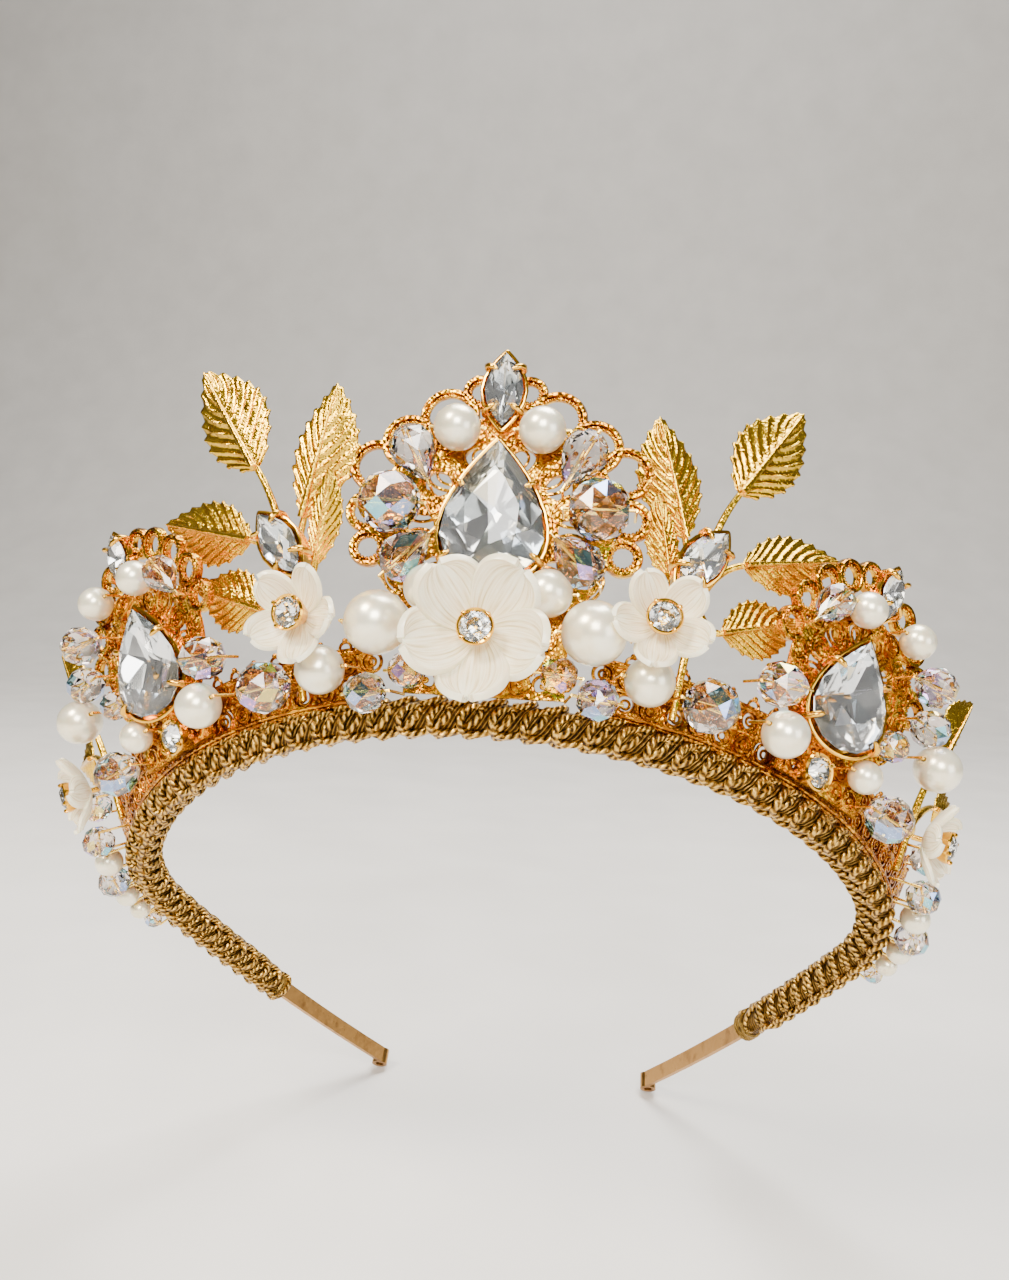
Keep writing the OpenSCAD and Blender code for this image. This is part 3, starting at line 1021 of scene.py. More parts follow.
@dataclass
class ClawSetting:
    """A cast cup that follows a stone's outline, with claws bent over its edge."""

    outline: Outline
    width: float
    length: float
    depth: float
    claw_turns: tuple[float, ...]
    wall: float = 0.35
    gap: float = 0.3
    claw_r: float = 0.42

    def cup(self, name: str) -> Shape:
        """Makes the cup with its floor, its rim at z = 0."""
        around = 40
        shape = Bench.start(
            name, bpy.ops.mesh.primitive_circle_add, vertices=around, radius=1.0, fill_type="NGON"
        )
        Bench.warp(lambda c: Vector((*self._edge(math.atan2(c.x, c.y), self.gap - 0.5), -self.depth)))
        bpy.ops.mesh.extrude_region_move()
        Bench.warp(lambda c: Vector((*self._edge(math.atan2(c.x, c.y), self.gap), 0.0)))
        Bench.pick(lambda face: face.calc_center_median().z > -0.01)
        bpy.ops.mesh.delete(type="FACE")
        Bench.done(40.0)
        Bench.modify(shape, "SOLIDIFY", thickness=self.wall, offset=1.0)
        Bench.modify(shape, "BEVEL", width=0.09, segments=2, limit_method="ANGLE")
        return Bench.paint(shape, SETTING_GILT)

    def _edge(self, turn: float, grow: float) -> tuple[float, float]:
        """Gives the outline's point at a turn, grown outward by some mm."""
        return self.outline.point(turn, self.width + 2 * grow, self.length + 2.4 * grow)

    def claw(self, name: str, turn: float) -> Shape:
        """Bends a tapered claw from the cup's foot over the stone's edge.

        Args:
            name: the claw's name.
            turn: degrees round the outline from its top.

        Returns:
            The claw.
        """
        t = math.radians(turn)
        edge = Vector((*self._edge(t, 0.0), 0.0))
        ahead = Vector((*self._edge(t + 0.02, 0.0), 0.0))
        along = (ahead - edge).normalized()
        away = Vector((-along.y, along.x, 0.0))
        if away.dot(edge) < 0:
            away = -away
        foot = ((0.25, -self.depth), (0.75, -self.depth * 0.4))
        bend = ((0.7, 0.3), (0.3, 0.85), (-0.35, 1.15), (-0.8, 1.2))
        points = [edge + away * out + Vector((0, 0, z)) for out, z in foot + bend]
        made = Bench.tube(name, points, self.claw_r, (0.8, 1.0, 1.05, 1.0, 0.85, 0.45))
        return Bench.paint(made, SETTING_GILT)

    def parts(self, name: str) -> list[Shape]:
        """Makes the cup and its claws on both sides."""
        made = [self.cup(name + "_cup")]
        for turn in self.claw_turns:
            made += [self.claw(f"{name}_claw", s * turn) for s in SIDES]
        return made


@dataclass(frozen=True)
class StoneStyle:
    """A style of claw-set stone: its nodes' stem, its cut, its cup's depth and its seats by tag."""

    stem: str
    outline: Outline
    width: float
    length: float
    crown: float
    back: float
    cup_depth: float
    seats: dict[str, Matrix]

    def set_stones(self, cutter: GemCutter) -> None:
        """Cuts the stone and lays it with its claws in every seat.

        Args:
            cutter: the gem cutter.
        """
        claw_turns = (69.0, 133.0) if self.outline is Outline.PEAR else (56.0, 124.0)
        stone = cutter.foiled("stone_cut", self.outline, self.width, self.length, self.crown, self.back)
        holder = ClawSetting(self.outline, self.width, self.length, self.cup_depth, claw_turns)
        setting = holder.parts("cup")
        for tag, seat in self.seats.items():
            Bench.lay(
                f"{self.stem}_glass_{tag}", [(stone, seat)], "foiled_stone", (f"{self.stem}_stone_{tag}",)
            )
            Bench.lay(
                f"{self.stem}_claws_{tag}",
                [(part, seat @ at(0, 0, -0.3)) for part in setting],
                "gilt_setting",
                (f"{self.stem}_setting_{tag}",),
            )
        Bench.drop_shapes([stone, *setting])


@dataclass
class StoneWork:
    """The set stones: pears, navettes and the round stones, each in its setting."""

    chaton: float = 3.6
    side_chaton: float = 4.0
    side_pear_grown: float = 1.12
    side_pear_turn: float = -12.0

    def build(self, cutter: GemCutter) -> None:
        """Cuts and sets the pears and navettes.

        Args:
            cutter: the gem cutter.
        """
        front = BAND.station(0)
        inward = Matrix.Rotation(math.radians(self.side_pear_turn), 4, "Y")
        pears, tops, sprays = {}, {}, {}
        for side in Side:
            tag, fan = side.name.lower(), BAND.station(42, side.value)
            pears[tag] = fan @ at(-2.2, 15.6, 6.6, 0, self.side_pear_grown) @ inward
            tops[tag] = fan @ at(1, 33, 5)
            sprays[tag] = BAND.station(23, side.value) @ at(-4.2, 23, 7.4, -28)
        pear, navette = Outline.PEAR, Outline.NAVETTE
        for style in (
            StoneStyle("pear", pear, 13, 18, 2.0, 2.5, 3.2, {"centre": front @ at(0, 25.2, 6)}),
            StoneStyle("pear", pear, 10, 14, 1.6, 2.1, 2.6, pears),
            StoneStyle("top_navette", navette, 5, 10, 1.1, 1.4, 1.7, {"centre": front @ at(0, 42, 4.2)}),
            StoneStyle("top_navette", navette, 4, 8, 0.9, 1.2, 1.6, tops),
            StoneStyle("spray_navette", navette, 5, 10, 1.1, 1.5, 2.2, sprays),
        ):
            style.set_stones(cutter)

    def hearts(self) -> list[Matrix]:
        """Gives the seats of the round stones in the flowers."""
        lift = at(0, 0, 0.9 + 0.7 * self.chaton)
        return [place @ lift for _, place, _ in flower_places()]

    def build_round(self, cutter: GemCutter) -> None:
        """Sets the small round stones in turned cups.

        Args:
            cutter: the gem cutter.
        """
        d = self.chaton
        stone = cutter.foiled("chaton_cut", Outline.ROUND, d, d, 0.26 * d, 0.42 * d)
        cup = turned(
            "chaton_cup",
            ((0.34 * d, -0.7 * d), (0.6 * d, -0.1 * d), (0.62 * d, 0.06 * d), (0.58 * d, 0.12 * d))
            + ((0.52 * d, 0.1 * d), (0.5 * d, -0.05 * d), (0.3 * d, -0.4 * d)),
            28,
            SETTING_GILT,
        )
        post = turned("chaton_post", ((0.4, -0.65 * d - 2.4), (0.4, -0.6 * d)), 12, SETTING_GILT)
        bead = ((0.1, -0.3), (0.28, -0.2), (0.34, 0.1), (0.2, 0.36), (0.06, 0.4))
        grain = turned("chaton_grain", bead, 8, SETTING_GILT)
        grains = [
            at(0.56 * d * math.sin(a), 0.56 * d * math.cos(a), 0.13 * d)
            for a in (math.pi * (0.25 + 0.5 * i) for i in range(4))
        ]
        cups = [(cup, Matrix.Identity(4)), (post, Matrix.Identity(4))] + [(grain, g) for g in grains]
        size = self.side_chaton / d
        spots = [BAND.station(42, s) @ at(-3.8, 3.8, 6, 0, size) for s in SIDES]
        for stem, node, seats in (("flower", "flower", self.hearts()), ("side", "side_chaton", spots)):
            stones = [(stone, seat) for seat in seats]
            Bench.lay(f"{stem}_rhinestones", stones, "foiled_stone", (f"{node}_stones",))
            Bench.lay(
                f"{stem}_rhinestone_cups",
                [(part, seat @ own) for seat in seats for part, own in cups],
                "gilt_setting",
                (f"{node}_cups",),
            )
        Bench.drop_shapes([stone, cup, post, grain])


@dataclass
class BeadWork:
    """Pearls and cut beads on the wires.

    A row is x, y, z and diameter in a station's mm. Along the band its first value is a heading
    instead, and a drop has width, length and turn in place of the diameter.
    """

    large: tuple = ((13.2, 10.2, 6.4, 8.0),)
    fan_pearls: tuple = ((5.4, 36, 5.6, 6), (7.4, 15, 5.6, 6))
    fan_drops: tuple = ((10.4, 32.2, 5.6, 6, 8, 152), (10.4, 19.4, 5.6, 6, 8, 45))
    fan_rounds: tuple = ((13, 25.6, 6.4, 8),)
    side_pearls: tuple = (
        (-3.8, 27.5, 6.2, 5),
        (6.8, 28.6, 6.2, 5),
        (-11.2, 5.3, 6.4, 6),
        (4.6, 7, 6, 4.5),
        (17.2, 14.2, 6.4, 6.5),
    )
    side_drops: tuple = (
        (-10.3, 24.4, 6.2, 5, 7, 150),
        (11.4, 24.2, 6.6, 6, 7, 100),
        (-13.4, 11, 6.4, 6, 8, -70),
    )
    side_rounds: tuple = ((13.6, 18.6, 6.4, 5.5), (8.2, 13.2, 5.8, 4.5), (10.6, 3.8, 6.4, 6.5))
    base_rounds: tuple = ((7.9, 5.4, 5, 4.8), (12, 2.8, 6.6, 5.2), (24, 5.6, 6.4, 7))
    base_pearls: tuple = ((17.1, 6.4, 6.2, 6.2),)
    tail_pearls: tuple = ((80, 2.4, 5, 4.4), (96, 1.8, 4.9, 3.8), (103, 1.4, 4.8, 3.4))
    tail_rounds: tuple = ((70, 3, 6, 5), (68, 8.4, 5, 5), (88, 1.8, 5.4, 5.2), (109, 1.2, 4.6, 3))
    dice: random.Random = field(default_factory=lambda: random.Random(5))

    def _rounds(self, shape: Shape, heading: Optional[float], side: int, spots: Sequence) -> list[Part]:
        """Places round beads, each turned by chance on its wire.

        Args:
            shape: the bead of diameter 1.
            heading: the station's heading, or None where each spot has its own.
            side: -1 or 1.
            spots: the beads' rows.

        Returns:
            The beads with their places.
        """
        made = []
        for first, y, z, size in spots:
            place = BAND.station(first if heading is None else heading, side)
            roll = Matrix.Rotation(self.dice.uniform(0, 2 * math.pi), 4, "X")
            made.append((shape, place @ at(0 if heading is None else first, y, z, 0, size) @ roll))
        return made

    def _drops(self, shape: Shape, heading: float, side: int, spots: Sequence) -> list[Part]:
        """Places drops in a station, as _rounds does."""
        made = []
        for x, y, z, width, length, turn in spots:
            spin = Matrix.Rotation(self.dice.uniform(0, 6.28), 4, "Y")
            grown = Matrix.Diagonal((width, length, width, 1))
            made.append((shape, BAND.station(heading, side) @ at(x, y, z, turn) @ grown @ spin))
        return made

    def build(self, cutter: GemCutter, maker: PearlMaker) -> None:
        """Strings every pearl and bead.

        Args:
            cutter: the gem cutter.
            maker: the pearl maker.
        """
        pearl = maker.roll("pearl_rolled")
        rounds = cutter.round_bead("round_cut")
        drop = cutter.drop_bead("drop_cut")
        shared = (
            ("pearls_large", "large_pearls", pearl, 0, self.large),
            ("pearls_fan", "fan_pearls_centre", pearl, 0, self.fan_pearls),
            ("drops_fan", "fan_drops_centre", drop, 0, self.fan_drops),
            ("rounds_fan", "fan_rounds_centre", rounds, 0, self.fan_rounds),
            ("rounds_base", "base_crystals", rounds, None, self.base_rounds),
            ("pearls_base", "base_pearls", pearl, None, self.base_pearls),
        )
        sided = (
            ("pearls_side", "side_pearls", pearl, 42, self.side_pearls),
            ("drops_side", "side_drops", drop, 42, self.side_drops),
            ("rounds_side", "side_crystals", rounds, 42, self.side_rounds),
            ("pearls_tail", "tail_pearls", pearl, None, self.tail_pearls),
            ("rounds_tail", "tail_crystals", rounds, None, self.tail_rounds),
        )
        groups = [("", SIDES, shared)] + [("_" + side.name.lower(), (side.value,), sided) for side in Side]
        for tag, sides, rows in groups:
            for piece, node, shape, heading, spots in rows:
                place = self._drops if shape is drop else self._rounds
                parts = [part for side in sides for part in place(shape, heading, side, spots)]
                slot = "glass_pearl" if shape is pearl else "blush_crystal"
                Bench.lay(piece + tag, parts, slot, (node + tag,))
        Bench.drop_shapes([pearl, rounds, drop])


# ---- flowers ----


def flower_places() -> list[tuple[str, Matrix, float]]:
    """Gives each flower's node, place and diameter, the centre one first."""
    made = [("flower_centre", BAND.station(0) @ at(-0.3, 9, 9), 17.0)]
    for side in Side:
        tag, s = side.name.lower(), side.value
        inward = Matrix.Rotation(math.radians(-8 - 6 * s), 4, "Y")
        made.append((f"flower_{tag}", BAND.station(23, s) @ at(-7.9 - 0.5 * s, 12.6, 8.4) @ inward, 12.0))
        turn = Matrix.Rotation(math.radians(12), 4, "Y")
        made.append((f"outer_flower_{tag}", BAND.station(60, s) @ at(-3, 5.5, 8) @ turn, 11.0))
    return made


@dataclass
class Flower:
    """A carved flower of diameter 1: five cupped petals that overlap like a fan."""

    across: int = 22
    along: int = 22
    reach: float = 0.5
    foot: float = 0.05
    half: float = 0.245
    small_half: float = 0.205
    bowl: float = 0.62
    thick: float = 0.05

    def _half_width(self, v: float) -> float:
        """Gives a petal's half width at v from 0 at its foot to 1 at its edge."""
        widest = 0.6
        if v > widest:
            return self.half * math.sqrt(max(0.0, 1 - ((v - widest) / (1 - widest)) ** 2.2))
        return self.half * (0.3 + 0.7 * math.sin(math.pi / 2 * v / widest))

    def _place(self, u: float, v: float) -> Vector:
        """Gives a petal's point, u across from -1 to 1 and v out from its foot."""
        x = u * self._half_width(v)
        y = self.foot + (self.reach - self.foot) * v - 0.03 * u * u * (1 - v)
        far = math.hypot(x, y)
        z = self.bowl - math.sqrt(self.bowl**2 - far * far)
        lap = 0.035 * u * min(1.0, 1.6 * v)
        cup = 0.04 * u * u * v + 0.012 * math.sin(5 * u + 1) * v * v
        lip = -0.03 * max(0.0, v - 0.8) * 5 * 0.5
        return Vector((x, -y, z + lap + cup + lip))

    def petal(self, name: str) -> Shape:
        """Shapes one petal pointing down, with its growth-line map."""
        made = Bench.start(
            name,
            bpy.ops.mesh.primitive_grid_add,
            x_subdivisions=self.across,
            y_subdivisions=self.along,
            size=2.0,
            calc_uvs=True,
        )
        Bench.warp(lambda c: self._place(c.x, min(0.995, (c.y + 1) / 2)))
        Bench.done(60.0)
        Bench.modify(made, "SOLIDIFY", thickness=self.thick, offset=0.0)
        Bench.modify(made, "BEVEL", width=self.thick * 0.36, segments=2, limit_method="ANGLE")
        bpy.ops.object.shade_smooth_by_angle(angle=math.radians(60))
        return Bench.paint(made, SHELL)

    def build(self) -> None:
        """Carves the five flowers, the small ones with narrower petals."""
        wide = self.petal("petal_wide")
        self.half = self.small_half
        narrow = self.petal("petal_narrow")
        knob = ((0.06, -0.03), (0.11, -0.01), (0.12, 0.03), (0.06, 0.05))
        button = turned("flower_button", knob, 20, SHELL)
        for node, place, diameter in flower_places():
            turns = [Matrix.Rotation(math.radians(72 * i), 4, "Z") for i in range(5)]
            grown = place @ at(0, 0, 0.4, 0, diameter)
            petal = wide if node == "flower_centre" else narrow
            parts = [(petal, grown @ turn) for turn in turns] + [(button, grown)]
            Bench.lay("shell_" + node, parts, "carved_shell", (node,))
        Bench.drop_shapes([wide, narrow, button])


# ---- leaves ----


@dataclass
class LeafSpray:
    """A stamped spray: toothed, veined blades on stems that meet at a hub."""

    heading: float
    hub: tuple[float, float, float]
    leaves: tuple
    foot: tuple[float, float, float]
    stem: str
    length: float = 16.6
    width: float = 8.8
    teeth: int = 9
    tooth: float = 0.55
    fold: float = 14.0
    vein_slant: float = 0.297
    vein_wide: float = 0.12
    vein_high: float = 0.34
    quilt: float = 0.22
    rib_wide: float = 0.42
    rib_high: float = 0.42
    tip_curl: float = 0.9
    edge_wave: float = 0.14
    thick: float = 0.32
    rib_r: float = 0.5
    stem_r: float = 0.5
    left_swell: float = 1.08

    def _half(self, s: float) -> float:
        """Gives the blade's half width at s from stalk to tip."""
        return self.width / 2 * math.sin(math.pi * min(1.0, max(0.0, s)) ** 0.85)

    def _place(self, u: float, s: float) -> Vector:
        """Gives a blade's point, u across from -1 to 1 and s from stalk to tip."""
        side, part = abs(u), s * self.teeth % 1.0
        tooth = self.tooth * part * min(1.0, 6 * (1 - part)) if 0.04 < s < 0.97 else 0.0
        x = u * (self._half(s) + tooth * side**6 + 0.12 * (1 - s))
        y = s * self.length + 0.9 * side * side * math.sin(math.pi * s) + 0.35 * tooth * side**4
        lean = -math.tan(math.radians(self.fold)) * abs(x)
        # veins climb outward at a slant; the blade is quilted between them
        vein = (s - self.vein_slant * side) * self.teeth
        ridge = math.exp(-(((vein + 0.5) % 1.0 - 0.5) / self.vein_wide) ** 2)
        relief = self.vein_high * ridge * (1 - 0.5 * side) - self.quilt * math.sin(math.pi * (vein % 1.0))
        relief *= min(1.0, 5 * side) * math.sin(math.pi * min(1, s * 1.05)) ** 0.5
        rib = self.rib_high * math.exp(-((x / self.rib_wide) ** 2)) * (1.1 - 0.8 * s)
        wave = self.edge_wave * math.sin(2 * math.pi * s) * side
        return Vector((x, y, lean + relief + rib + wave - self.tip_curl * max(0.0, s - 0.55) ** 2))

    def blade(self, name: str) -> Shape:
        """Stamps one full-size blade with its stalk at the origin."""
        along = 12 * self.teeth
        made = Bench.start(
            name, bpy.ops.mesh.primitive_grid_add, x_subdivisions=34, y_subdivisions=along, size=2.0
        )
        Bench.warp(lambda c: self._place(c.x, (c.y + 1) / 2))
        bpy.ops.mesh.remove_doubles(threshold=0.01)
        Bench.done(60.0)
        Bench.modify(made, "SOLIDIFY", thickness=self.thick, offset=-1.0)
        return Bench.paint(made, LEAF_GILT)

    def midrib(self, name: str) -> Shape:
        """Draws the raised midrib of a full-size blade, tapered to the tip."""
        shares = [i / 16 * 0.94 for i in range(17)]
        points = [self._place(0, s) + Vector((0, 0, 0.12 - 0.1 * s)) for s in shares]
        taper = [1.0 - 0.72 * s for s in shares]
        return Bench.paint(Bench.tube(name, points, self.rib_r, taper), LEAF_GILT)

    def stalk(self, name: str, leaf: Sequence) -> Shape:
        """Draws one tapered stem from the hub to its leaf.

        Args:
            name: the stem's name.
            leaf: the leaf's row.

        Returns:
            The stem, in the station's frame.
        """
        start, end = Vector(self.hub), Vector(leaf[0]) + Vector((0, 0, -0.1))
        turn = math.radians(leaf[1])
        ahead = Vector((-math.sin(turn), math.cos(turn), 0.0))
        reach = (end - start).length
        points, taper = [], []
        for i in range(13):
            t = i / 12
            # a quadratic sweep that leaves the hub along the chord and meets the leaf's own line
            mid = end - ahead * reach * 0.45
            spot = start.lerp(mid, t).lerp(mid.lerp(end, t), t)
            points.append(spot)
            taper.append(1.25 - 0.35 * t)
        points.append(end + ahead * 1.6 + Vector((0, 0, 0.2)))
        taper.append(0.85)
        return Bench.paint(Bench.tube(name, points, self.stem_r, taper), LEAF_GILT)

    def build(self, blade: Shape, rib: Shape) -> None:
        """Lays the spray on both sides.

        Args:
            blade: a full-size blade to copy.
            rib: its midrib.
        """
        hub = turned(
            "spray_hub", ((0.5, -0.7), (1.4, -0.6), (1.5, 0.2), (1.1, 0.6), (0.4, 0.8)), 20, LEAF_GILT
        )
        stems = [self.stalk("stalk", leaf) for leaf in self.leaves]
        steps = range(9)
        line = [Vector(self.hub).lerp(Vector(self.foot), i / 8) for i in steps]
        post = Bench.paint(
            Bench.tube("post", line, 1.1 * self.stem_r, [1.1 - 0.02 * i for i in steps]), LEAF_GILT
        )
        for side in Side:
            place = BAND.station(self.heading, side.value)
            parts: list[Part] = [(hub, place @ at(*self.hub)), (post, place)]
            for leaf, stem in zip(self.leaves, stems):
                (x, y, z), turn, back, wide, long = leaf
                grow = self.left_swell if side is Side.LEFT else 1.0
                own = at(x, y, z, turn, grow) @ Matrix.Rotation(math.radians(-back), 4, "X")
                grown = place @ own @ Matrix.Diagonal((wide, long, (wide + long) / 2, 1))
                parts += [(blade, grown), (rib, grown)]
                parts.append((stem, place))
            tag = side.name.lower()
            Bench.lay(f"{self.stem}_stamped_{tag}", parts, "gilt_leaf", (f"{self.stem}_{tag}",))
        Bench.drop_shapes([hub, post, *stems])


INNER_SPRAY = LeafSpray(
    heading=23,
    hub=(-1.9, 19, 2.2),
    leaves=(
        ((0.4, 35.4, 3.4), -25, 4, 1.08, 1.06),
        ((-5.4, 27, 2.6), 25, 0, 0.95, 1.02),
        ((3.4, 26.4, 2.4), -66, 8, 0.9, 1.0),
        ((2, 16.2, 3.2), -63, 10, 0.85, 0.8),
        ((-6.2, 20.2, 2.8), 23, -6, 0.5, 0.72),
    ),
    foot=(-1.9, 3.4, 2.6),
    stem="leaf_spray",
)
OUTER_SPRAY = LeafSpray(
    heading=60,
    hub=(4, 10, 2.6),
    leaves=(((5.4, 23, 3), -24, 4, 0.8, 1.0), ((10, 17, 2.6), -70, 6, 0.8, 0.8)),
    foot=(4, 3.2, 2.8),
    stem="outer_leaves",
)


# ---- filigree ----


@dataclass
class WireWork:
    """Draws the small shapes that filigree is made of: wire rings, wire loops and granules."""

    made: list[Shape] = field(default_factory=list)

    def _keep(self, shape: Shape, finish: Finish) -> Shape:
        """Finishes a shape and remembers it, to be dropped once its copies are laid."""
        self.made.append(Bench.paint(shape, finish))
        return shape

    def ring(self, radius: float, wire: float, finish: Finish) -> Shape:
        """Bends a wire ring.

        Args:
            radius: its radius in mm.
            wire: the wire's radius in mm.
            finish: its finish.

        Returns:
            The ring, flat at z = 0.
        """
        around = [2 * math.pi * i / 28 for i in range(28)]
        points = [Vector((radius * math.sin(a), radius * math.cos(a), 0)) for a in around]
        return self._keep(Bench.tube("wire_ring", points, wire, closed=True, sides=1), finish)

    def loop(self, length: float, width: float, wire: float) -> Shape:
        """Bends a drop-shaped wire loop along Y from the origin.

        Args:
            length: its length in mm.
            width: its width in mm.
            wire: the wire's radius in mm.

        Returns:
            The loop.
        """
        points = []
        for i in range(28):
            a = 2 * math.pi * i / 28
            x = 0.5 * width * math.sin(a) * (0.35 + 0.65 * abs(math.sin(a / 2)))
            points.append(Vector((x, length * (0.5 - 0.5 * math.cos(a)), 0)))
        return self._keep(Bench.tube("wire_loop", points, wire, closed=True, sides=1), FILIGREE_GILT)

    def granule(self, finish: Finish) -> Shape:
        """Makes a granule of diameter 1 mm, a little flattened."""
        grain = Bench.start("granule", bpy.ops.mesh.primitive_ico_sphere_add, subdivisions=2, radius=0.5)
        Bench.warp(lambda c: Vector((c.x, c.y, c.z * 0.85)))
        Bench.done(80.0)
        return self._keep(grain, finish)

    def drop(self) -> None:
        """Removes the shapes."""
        Bench.drop_shapes(self.made)
        self.made = []


@dataclass
class FiligreeFan:
    """Relief of a stamped fan: roped scallops, granulated edges and a lattice of wire loops."""

    heading: float
    sides: tuple[int, ...]
    field_r: float
    field_y: float
    loops: tuple
    face: float
    foot_w: float
    petals: int = 12
    ropes: tuple = (0.17, 0.47, 0.8)
    petal_rows: tuple = ((0.17, 0.47, 0.2, 0.0), (0.47, 0.8, 0.34, 0.5), (0.8, 1.04, 0.34, 0.0))
    foot_rows: tuple = (4.1, 7.0, 9.9)
    foot_pitch: float = 2.9

    def _circle(
        self, grain: Shape, x: float, y: float, radius: float, pitch: float, size: float
    ) -> list[Part]:
        """Sets granules in a circle.

        Args:
            grain: the granule.
            x: the circle's centre.
            y: the circle's centre.
            radius: its radius in mm.
            pitch: spacing of the granules in mm.
            size: their diameter in mm.

        Returns:
            The granules with their places.
        """
        count = max(6, round(2 * math.pi * radius / pitch))
        turns = (2 * math.pi * i / count for i in range(count))
        spots = ((x + radius * math.sin(a), y + radius * math.cos(a)) for a in turns)
        return [(grain, at(*spot, self.face, 0, size)) for spot in spots]

    def _scallops(self, wires: WireWork, grain: Shape) -> list[Part]:
        """Gives the edge's roped scallops with their granules."""
        local: list[Part] = []
        for x, y, r in self.loops:
            rim = wires.ring(r - 0.4, 0.42, FILIGREE_GILT)
            for s in SIDES:
                local.append((rim, at(s * x, y, self.face)))
                local += self._circle(grain, s * x, y, r - 1.05, 0.56, 0.52)
        return local

    def _rosette(self, wires: WireWork, grain: Shape) -> list[Part]:
        """Gives the field's ropes, with petals of wire loops between them and granules round it."""
        local: list[Part] = []
        radius, centre = self.field_r, self.field_y
        for share in self.ropes:
            local.append((wires.ring(radius * share, 0.3, FILIGREE_GILT), at(0, centre, self.face)))
        for low, high, wide, shift in self.petal_rows:
            petal = wires.loop(radius * (high - low), radius * wide, 0.24)
            inner = wires.loop(radius * (high - low) * 0.6, radius * wide * 0.5, 0.2)
            for i in range(self.petals):
                turn = at(0, centre, self.face, 360 / self.petals * (i + shift))
                local.append((petal, turn @ at(0, radius * low, 0)))
                local.append((inner, turn @ at(0, radius * (low + 0.06), 0)))
        return local + self._circle(grain, 0, centre, radius * 0.97, 0.95, 0.7)

    def _foot_rings(self, wires: WireWork, grain: Shape) -> list[Part]:
        """Gives the rows of small ringed granules under the field."""
        local: list[Part] = []
        small = wires.ring(1.25, 0.24, FILIGREE_GILT)
        count = int(self.foot_w / self.foot_pitch)
        for y in self.foot_rows:
            for i in range(count):
                x = (i - (count - 1) / 2) * self.foot_pitch
                if math.hypot(x, y - self.field_y) > self.field_r * 0.95:
                    local.append((small, at(x, y, self.face)))
                    local.append((grain, at(x, y, self.face, 0, 0.9)))
        return local

    def build(self, wires: WireWork) -> None:
        """Lays the relief on each plate.

        Args:
            wires: the wire work that draws its shapes.
        """
        grain = wires.granule(FILIGREE_GILT)
        local = self._scallops(wires, grain) + self._rosette(wires, grain) + self._foot_rings(wires, grain)
        for side in self.sides:
            tag = {-1: "left", 1: "right"}[side] if len(self.sides) > 1 else "centre"
            place = BAND.station(self.heading, side)
            parts = [(shape, place @ own) for shape, own in local]
            Bench.lay("filigree_relief_" + tag, parts, "gilt_filigree")
        wires.drop()


CENTRE_FAN = FiligreeFan(
    heading=0,
    sides=(1,),
    field_r=15.0,
    field_y=24.0,
    loops=(
        (3.2, 42.4, 2.4),
        (7, 38.9, 3.9),
        (11.9, 35.2, 3.8),
        (16, 31.8, 3.6),
        (16.8, 25.6, 2.8),
        (16.2, 20.8, 2.5),
    ),
    face=2.2,
    foot_w=20.0,
)
SIDE_FAN = FiligreeFan(
    heading=42,
    sides=SIDES,
    field_r=11.5,
    field_y=18.0,
    loops=((2.4, 34, 2.3), (6, 32, 2.5), (9.6, 29, 2.5), (12, 25, 2.5), (13, 20.6, 2.4)),
    face=3.4,
    foot_w=16.0,
)


@dataclass
class LaceStrip:
    """Open lace along the braid: two rails, two rows of rings and a scalloped top edge."""

    start: float = 13.0
    end: float = 106.0
    foot: float = 2.4
    height: float = 7.0
    depth: float = 1.25
    pitch: float = 3.1
    rails: tuple = (
        (-0.7, 0.4, 0.5),
        (-0.2, 0.8, 0.5),
        (0.25, 1.25, 0.3),
        (3.3, 1.25, 0.3),
        (6.4, 1.25, 0.3),
    )

    def build(self, wires: WireWork) -> None:
        """Lays the lace on both sides.

        Args:
            wires: the wire work that draws its shapes.
        """
        ring = wires.ring(1.3, 0.25, LACE_GILT)
        heart = wires.ring(0.55, 0.2, LACE_GILT)
        scallop = wires.ring(0.8, 0.22, LACE_GILT)
        column = ((1.7, ring), (4.9, ring), (1.7, heart), (4.9, heart), (7.0, scallop))
        grain = wires.granule(LACE_GILT)
        knots = ((0.0, 8.0, 0.8), (0.5, 3.3, 0.9), (0.5, 6.5, 0.8))
        first, last = BAND.run(self.start), BAND.run(self.end)
        count = int((last - first) / self.pitch)
        for side in Side:
            parts: list[Part] = []
            for i in range(count + 1):
                heading = BAND.heading(first + i * (last - first) / count)
                place = BAND.station(heading, side.value)
                for y, shape in column:
                    parts.append((shape, place @ at(0, self.foot + y, self.depth)))
                for share, y, size in knots:
                    spot = at(share * self.pitch, self.foot + y, self.depth, 0, size)
                    parts.append((grain, place @ spot))
            for y, deep, wire in self.rails:
                line = []
                for i in range(91):
                    heading = BAND.heading(first + i * (last - first) / 90)
                    line.append(BAND.station(heading, side.value) @ Vector((0, self.foot + y, deep)) / MM)
                rail = Bench.paint(Bench.tube("rail", line, wire, sides=1), LACE_GILT)
                wires.made.append(rail)
                parts.append((rail, Matrix.Scale(MM, 4)))
            tag = side.name.lower()
            Bench.lay(f"lace_wirework_{tag}", parts, "gilt_filigree")
        wires.drop()


# ---- the braid ----


